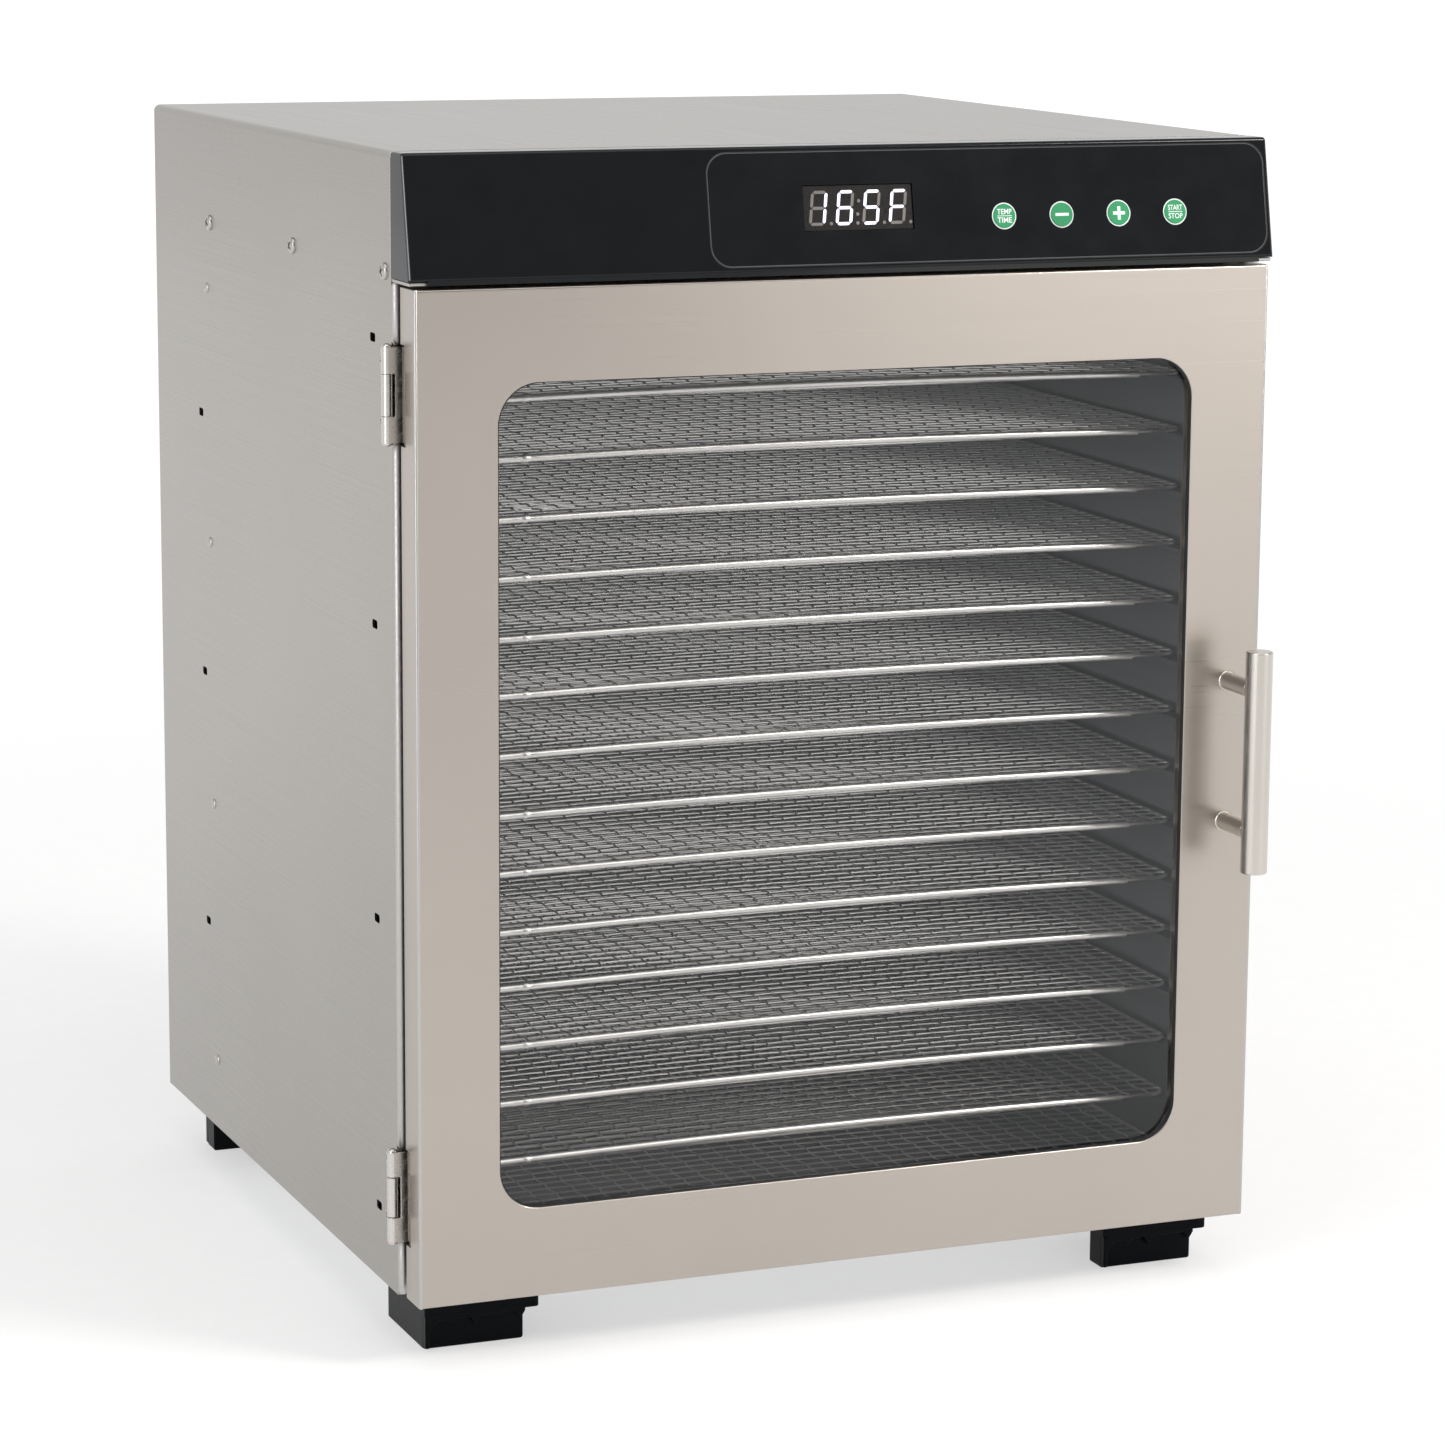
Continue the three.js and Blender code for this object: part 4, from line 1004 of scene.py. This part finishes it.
def overlay_edge():
    """A fine lighter-grey rim, a painted highlight along the overlay's edge, and a dark groove round the
    overlay.
    """
    low, high = face_extents("overlay")
    centre = ((low.x + high.x) / 2, (low.y + high.y) / 2)
    level = high.z - OVERLAY_EDGE_SINK * MM
    for name, grow, radius, material in (
        # the rim's lighter grey is a painted highlight along the overlay's edge
        ("overlay_edge_highlight", 0.0, 0.22, "rim"), ("overlay_groove", 0.75, 0.3, "rubber"),
    ):
        size = high - low + Vector((grow, grow, 0)) * MM
        outline = rounded_outline(size.x, size.y, OVERLAY_CORNER * MM, 10, centre)
        bm = bmesh.new()
        add_tube(bm, [FACE @ Vector((x, y, level)) for x, y in outline], radius * MM, 8, closed=True)
        piece(name, bm, material, "cabinet")


def fascia_lip():
    """The black lip that closes the fascia's underside against the shelf."""
    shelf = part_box("control_shelf")[0]
    front = FASCIA_LOW.y + 0.4 * MM
    back = shelf.y - 0.1 * MM
    under = FASCIA_LOW.z + 0.4 * MM
    outline = [(front, shelf.z + 0.1 * MM), (back, shelf.z - 0.2 * MM), (back, under), (front, under)]
    bm = bmesh.new()
    sideways = Matrix(((0, 0, 1, 0), (1, 0, 0, 0), (0, 1, 0, 0), (0, 0, 0, 1)))
    left = FASCIA_LOW.x + LIP_LEFT_INSET * MM
    right = FASCIA_HIGH.x - LIP_RIGHT_INSET * MM
    add_prism(bm, outline, left, right, sideways)
    piece("fascia_lip", bm, "fascia", "cabinet")


def fascia_corners():
    """Metal rods along the fascia's two front corners, which catch the light: a painted highlight on the
    rounded black plastic edges.
    """
    face = [FACE_INVERSE @ vert.co for vert in NODES["fascia"].data.vertices]
    low, high = extents(point for point in face if abs(point.z) < FACE_NEAR)
    inset = FASCIA_CORNER_INSET * MM
    for side, x in (("left", low.x + inset), ("right", high.x - inset)):
        bm = bmesh.new()
        bar = [FACE @ Vector((x, y, -inset)) for y in (low.y + inset, high.y - inset)]
        add_tube(bm, bar, FASCIA_CORNER_RADIUS * MM, 16)
        name = f"fascia_corner_{side}"
        piece(name, bm, "corner", "cabinet")


# ---------------------------------------------------------------- hinges and handle
def hinge_details():
    """Domed pin heads, and the screws that hold each cabinet leaf through the side."""
    screw = screw_mesh("hinge_screw", *HINGE_SCREW)
    cap = dome(HINGE_CAP_RADIUS * MM, HINGE_CAP_HEIGHT * MM, range(0, 90, 15))
    for label in LABELS:
        low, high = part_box(f"{label}_hinge_pin")
        middle = (low + high) / 2
        for end, z, out in (("top", high.z, 1), ("bottom", low.z, -1)):
            bm = bmesh.new()
            matrix = placed((middle.x, middle.y, z), (0, 0, out))
            add_lathe(bm, [(0, 0), *cap, (0, HINGE_CAP_HEIGHT * MM)], 20, matrix)
            name = f"{label}_hinge_cap_{end}"
            piece(name, bm, "hinge", "cabinet")
        y = SHELL_LOW.y + HINGE_SCREW_INSET * MM
        for index, side in enumerate((-1, 1), 1):
            z = middle.z + side * HINGE_SCREW_PITCH / 2 * MM
            matrix = placed((SHELL_LOW.x, y, z), (-1, 0, 0), spin=index)
            piece(f"{label}_hinge_screw_{index}", screw, "screw", "cabinet", matrix)


def upright_bar(name, x, y, low_z, high_z, radius, body):
    """A rolled steel edge: an upright bar with chamfered ends, in steel lighter than the sheet it belongs
    to, which paints a highlight on the edge.
    """
    bm = bmesh.new()
    neck, drop = radius * 0.7, radius * 0.5
    profile = [(0, low_z), (neck, low_z), (radius, low_z + drop), (radius, high_z - drop),
               (neck, high_z), (0, high_z)]
    add_lathe(bm, profile, 24, Matrix.Translation((x, y, 0)))
    piece(name, bm, "post", body)


def corner_posts():
    """The cabinet's rolled front corners below the shelf, broken at the hinges on the left."""
    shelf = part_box("control_shelf")[0].z
    stops = [SHELL_LOW.z + 0.3 * MM]
    for label in reversed(LABELS):
        low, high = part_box(f"{label}_hinge_pin")
        stops += [low.z - HINGE_GAP * MM, high.z + HINGE_GAP * MM]
    stops.append(shelf - 0.2 * MM)
    radius = POST_RADIUS * MM
    spans = {"left": list(zip(stops[::2], stops[1::2])), "right": [(stops[0], stops[-1])]}
    places = {"left": SHELL_LOW.x + radius, "right": SHELL_HIGH.x - radius}
    for side, x in places.items():
        for index, (low_z, high_z) in enumerate(spans[side], 1):
            name = f"corner_post_{side}_{index}"
            upright_bar(name, x, SHELL_LOW.y + 0.3 * MM, low_z, high_z, radius, "cabinet")


def corner_trims():
    """The cabinet's rolled front corners above the shelf, beside the fascia."""
    radius = CORNER_TRIM_RADIUS * MM
    inset = radius - CORNER_TRIM_PROUD * MM
    low_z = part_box("control_shelf")[0].z
    high_z = SHELL_HIGH.z - CORNER_TRIM_DROP * MM
    for side, x in (("left", SHELL_LOW.x + inset), ("right", SHELL_HIGH.x - inset)):
        upright_bar(f"corner_trim_{side}", x, SHELL_LOW.y + inset, low_z, high_z, radius, "cabinet")


def door_rolls():
    """The door's two rolled upright edges."""
    radius = DOOR_ROLL * MM
    y = DOOR_LOW.y + radius - DOOR_ROLL_PROUD * MM
    for side, x in (("left", DOOR_LOW.x + radius), ("right", DOOR_HIGH.x - radius)):
        upright_bar(f"door_roll_{side}", x, y, DOOR_LOW.z, DOOR_HIGH.z, radius, "door")


def window_gasket():
    """The black strip between the door's sheet and the glass, flush with the window opening."""
    low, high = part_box("window_gasket")
    size, centre = high - low, (low + high) / 2
    matrix = Matrix.Translation(centre) @ Matrix.Rotation(math.radians(90), 4, "X")
    half = size.y / 2
    front = centre.y - DOOR_LOW.y - 0.25 * MM

    def outline(inset, corner):
        inset *= 2 * MM
        return rounded_outline(size.x - inset, size.z - inset, corner * MM, 8)

    outer = outline(0, GASKET_CORNER)
    edge = outline(GASKET_WIDTH - GASKET_LIP, WINDOW_CORNER)
    inner = outline(GASKET_WIDTH, WINDOW_CORNER)
    section = ((outer, -half), (outer, half), (edge, half), (edge, front), (inner, front), (inner, -half))
    bm = bmesh.new()
    rings = [[bm.verts.new(matrix @ Vector((x, y, z))) for x, y in corners] for corners, z in section]
    join_rings(bm, [*rings, rings[0]])
    obj = piece("gasket_strip", bm, "rubber", "door")
    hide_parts("window_gasket")


def handle_washers():
    """Thin collars where the posts meet the door."""
    radius, height, chamfer = COLLAR_RADIUS * MM, COLLAR_HEIGHT * MM, 0.3 * MM
    profile = [(0, 0), (radius, 0), (radius, height - chamfer), (radius - chamfer, height), (0, height)]
    for label in LABELS:
        middle = middle_of(f"handle_post_{label}")
        bm = bmesh.new()
        add_lathe(bm, profile, 28, placed((middle.x, DOOR_LOW.y, middle.z), (0, -1, 0)))
        name = f"handle_collar_{label}"
        piece(name, bm, "handle", "door")


# ---------------------------------------------------------------- CAD nodes that keep their shape
def finish_nodes():
    """Materials for the CAD nodes, each with its rounding in millimetres and its bevel segments."""
    refined_node("door_frame", is_door_edge, DOOR_BEND, "door", "door")
    refined_node("fascia", is_fascia_edge, FASCIA_BEND, "fascia", "cabinet")
    hinge_parts = ("door_leaf", "cabinet_leaf", "pin")
    for material, rounding, segments, nodes in (
        ("door", 0.4, 3, ["inner_frame"]),
        ("rear", 0.3, 2, ["front_frame", "control_shelf", "rear_panel"]),
        ("liner", 0.4, 2, ["liner_left", "liner_right", "chamber_ceiling", "chamber_floor", "fan_baffle"]),
        ("zinc", 0.3, 2, ["base_pan", "fan_guard", "fan_blade", "fan_motor", "motor_bracket"]),
        ("handle", 0.7, 3, ["handle_bar"]),
        ("handle", 0.2, 2, ["handle_post_upper", "handle_post_lower"]),
        ("hinge", 0.25, 2, [f"{label}_hinge_{part}" for label in LABELS for part in hinge_parts]),
        ("hinge", 0.3, 2, ["motor_shaft"]),
        ("heater", 0.2, 2, ["heating_element"]),
        ("inlet", 0.4, 2, ["power_inlet"]),
        ("overlay", 0.15, 2, ["overlay"]),
        ("board", 0.15, 2, ["control_board"]),
        ("magnet", 0.6, 2, ["door_catch"]),
        ("rubber", 1.8, 4, ["door_seal"]),
        ("glass", 0.3, 2, ["window_glass"]),
        ("green", 0.15, 2, BUTTONS),
    ):
        for node in nodes:
            finish_node(node, material, rounding, segments)


# ---------------------------------------------------------------- studio
CAMERA_FROM_FRONT_TOP = Vector((-0.7823, -1.8027, 0.1201))
CAMERA_YAW = math.radians(22.084)
CAMERA_PITCH = math.radians(-10.734)
CAMERA_ROLL = math.radians(0.378)
CAMERA_LENS = 113.87
FRONT_WORLD = 0.28  # brightness of the room in front, behind and above, as the steel sees it
BACK_WORLD = 0.86
TOP_WORLD = 0.5


def camera():
    data = bpy.data.cameras.new("camera")
    data.lens = CAMERA_LENS
    data.sensor_width = 36
    obj = add_object("camera", data)
    forward = Vector((
        math.sin(CAMERA_YAW) * math.cos(CAMERA_PITCH),
        math.cos(CAMERA_YAW) * math.cos(CAMERA_PITCH),
        math.sin(CAMERA_PITCH),
    ))
    level = Vector((math.cos(CAMERA_YAW), -math.sin(CAMERA_YAW), 0))
    upright = level.cross(forward)
    right = level * math.cos(CAMERA_ROLL) + upright * math.sin(CAMERA_ROLL)
    up = upright * math.cos(CAMERA_ROLL) - level * math.sin(CAMERA_ROLL)
    matrix = Matrix((right, up, -forward)).transposed().to_4x4()
    matrix.translation = Vector((CENTRE_X, SHELL_LOW.y, SHELL_HIGH.z)) + CAMERA_FROM_FRONT_TOP
    obj.matrix_world = matrix
    bpy.context.scene.camera = obj


def softbox(name, place, aim, size, power, colour=(1, 1, 1)):
    data = bpy.data.lights.new(name, "AREA")
    data.shape = "RECTANGLE"
    data.size, data.size_y = size
    data.energy = power
    data.color = colour
    obj = add_object(name, data)
    turn = (Vector(aim) - Vector(place)).to_track_quat("-Z", "Y")
    obj.matrix_world = Matrix.Translation(Vector(place)) @ turn.to_matrix().to_4x4()


def lights():
    softbox("key", (1.6, -1.75, 1.95), (0, 0, 0.25), (0.7, 0.8), 50, (1.0, 0.97, 0.94))
    softbox("top", (-0.2, -0.6, 2.3), (0, 0, 0.2), (2.0, 1.6), 15.5)
    softbox("front", (2.15, -3.1, 0.52), (0, 0, 0.4), (1.7, 0.85), 9.5, (1.0, 0.98, 0.95))
    softbox("edge", (-2.05, -1.43, 0.9), (0, 0, 0.4), (1.3, 1.8), 17.5)
    softbox("left", (-2.3, -0.9, 1.5), (0, 0, 0.25), (1.0, 1.4), 7, (0.97, 0.98, 1.0))


def blend(nodes, link, source, low, high, first, second):
    """Mixes two grey levels or sockets as the source value passes from low to high."""
    ranged = nodes.new("ShaderNodeMapRange")
    ranged.interpolation_type = "SMOOTHSTEP"
    ranged.inputs["From Min"].default_value = low
    ranged.inputs["From Max"].default_value = high
    link(source, ranged.inputs["Value"])
    mix = nodes.new("ShaderNodeMix")
    link(ranged.outputs["Result"], mix.inputs["Factor"])
    for socket, value in zip(mix.inputs[2:4], (first, second)):
        if isinstance(value, float):
            socket.default_value = value
        else:
            link(value, socket)
    return mix.outputs[0]


def world():
    """White behind the object; what the steel reflects is bright at the back and dim at the front."""
    scene_world = bpy.data.worlds.new("studio")
    bpy.context.scene.world = scene_world
    scene_world.use_nodes = True
    tree = scene_world.node_tree
    nodes, link = tree.nodes, tree.links.new
    coords = nodes.new("ShaderNodeTexCoord")
    split = nodes.new("ShaderNodeSeparateXYZ")
    link(coords.outputs["Generated"], split.inputs[0])
    around = blend(nodes, link, split.outputs["Y"], -0.5, 0.45, FRONT_WORLD, BACK_WORLD)
    level = blend(nodes, link, split.outputs["Z"], 0.3, 0.8, around, TOP_WORLD)
    room = nodes["Background"]
    room.inputs["Color"].default_value = (1, 1, 1, 1)
    link(level, room.inputs["Strength"])
    white = nodes.new("ShaderNodeBackground")
    white.inputs["Color"].default_value = (1, 1, 1, 1)
    white.inputs["Strength"].default_value = 1.1
    rays = nodes.new("ShaderNodeLightPath")
    mix_shaders(tree, rays.outputs["Is Camera Ray"], room, white, "World Output")


def floor():
    """A white sweep: lit paper near the object, fading to pure white further out."""
    bm = bmesh.new()
    add_prism(bm, arc((0, 0), 6.0, 0, 352.5, 47), -0.02, 0.0)
    mesh = mesh_from(bm, "floor")
    recipe = Recipe("floor_paper", (0.93, 0.93, 0.93), 0.8)
    fibres = recipe.noise((60, 60, 60), detail=5.0)
    recipe.vary_colour(fibres, (0.90, 0.90, 0.90), (0.93, 0.93, 0.93))
    reach = recipe.add("ShaderNodeVectorMath")
    reach.operation = "LENGTH"
    recipe.link(recipe.coords.outputs["Object"], reach.inputs[0])
    white = recipe.add("ShaderNodeEmission", Strength=1.04)
    share = recipe.spread(reach.outputs["Value"], 0.5, 1.0, 0.45, 1.7)
    mix_shaders(recipe.tree, share, recipe.shader, white, "Material Output")
    mesh.materials.append(recipe.material)
    add_object("floor", mesh)


def studio():
    bpy.context.scene.view_settings.view_transform = "Standard"
    camera()
    lights()
    world()
    floor()


# ---------------------------------------------------------------- build
studio()
finish_nodes()
outer_shell()
side_fasteners()
rear_fasteners()
feet()
trays()
display_module()
button_prints()
overlay_edge()
fascia_lip()
fascia_corners()
hinge_details()
handle_washers()
corner_posts()
corner_trims()
door_rolls()
window_gasket()

bpy.context.view_layer.update()
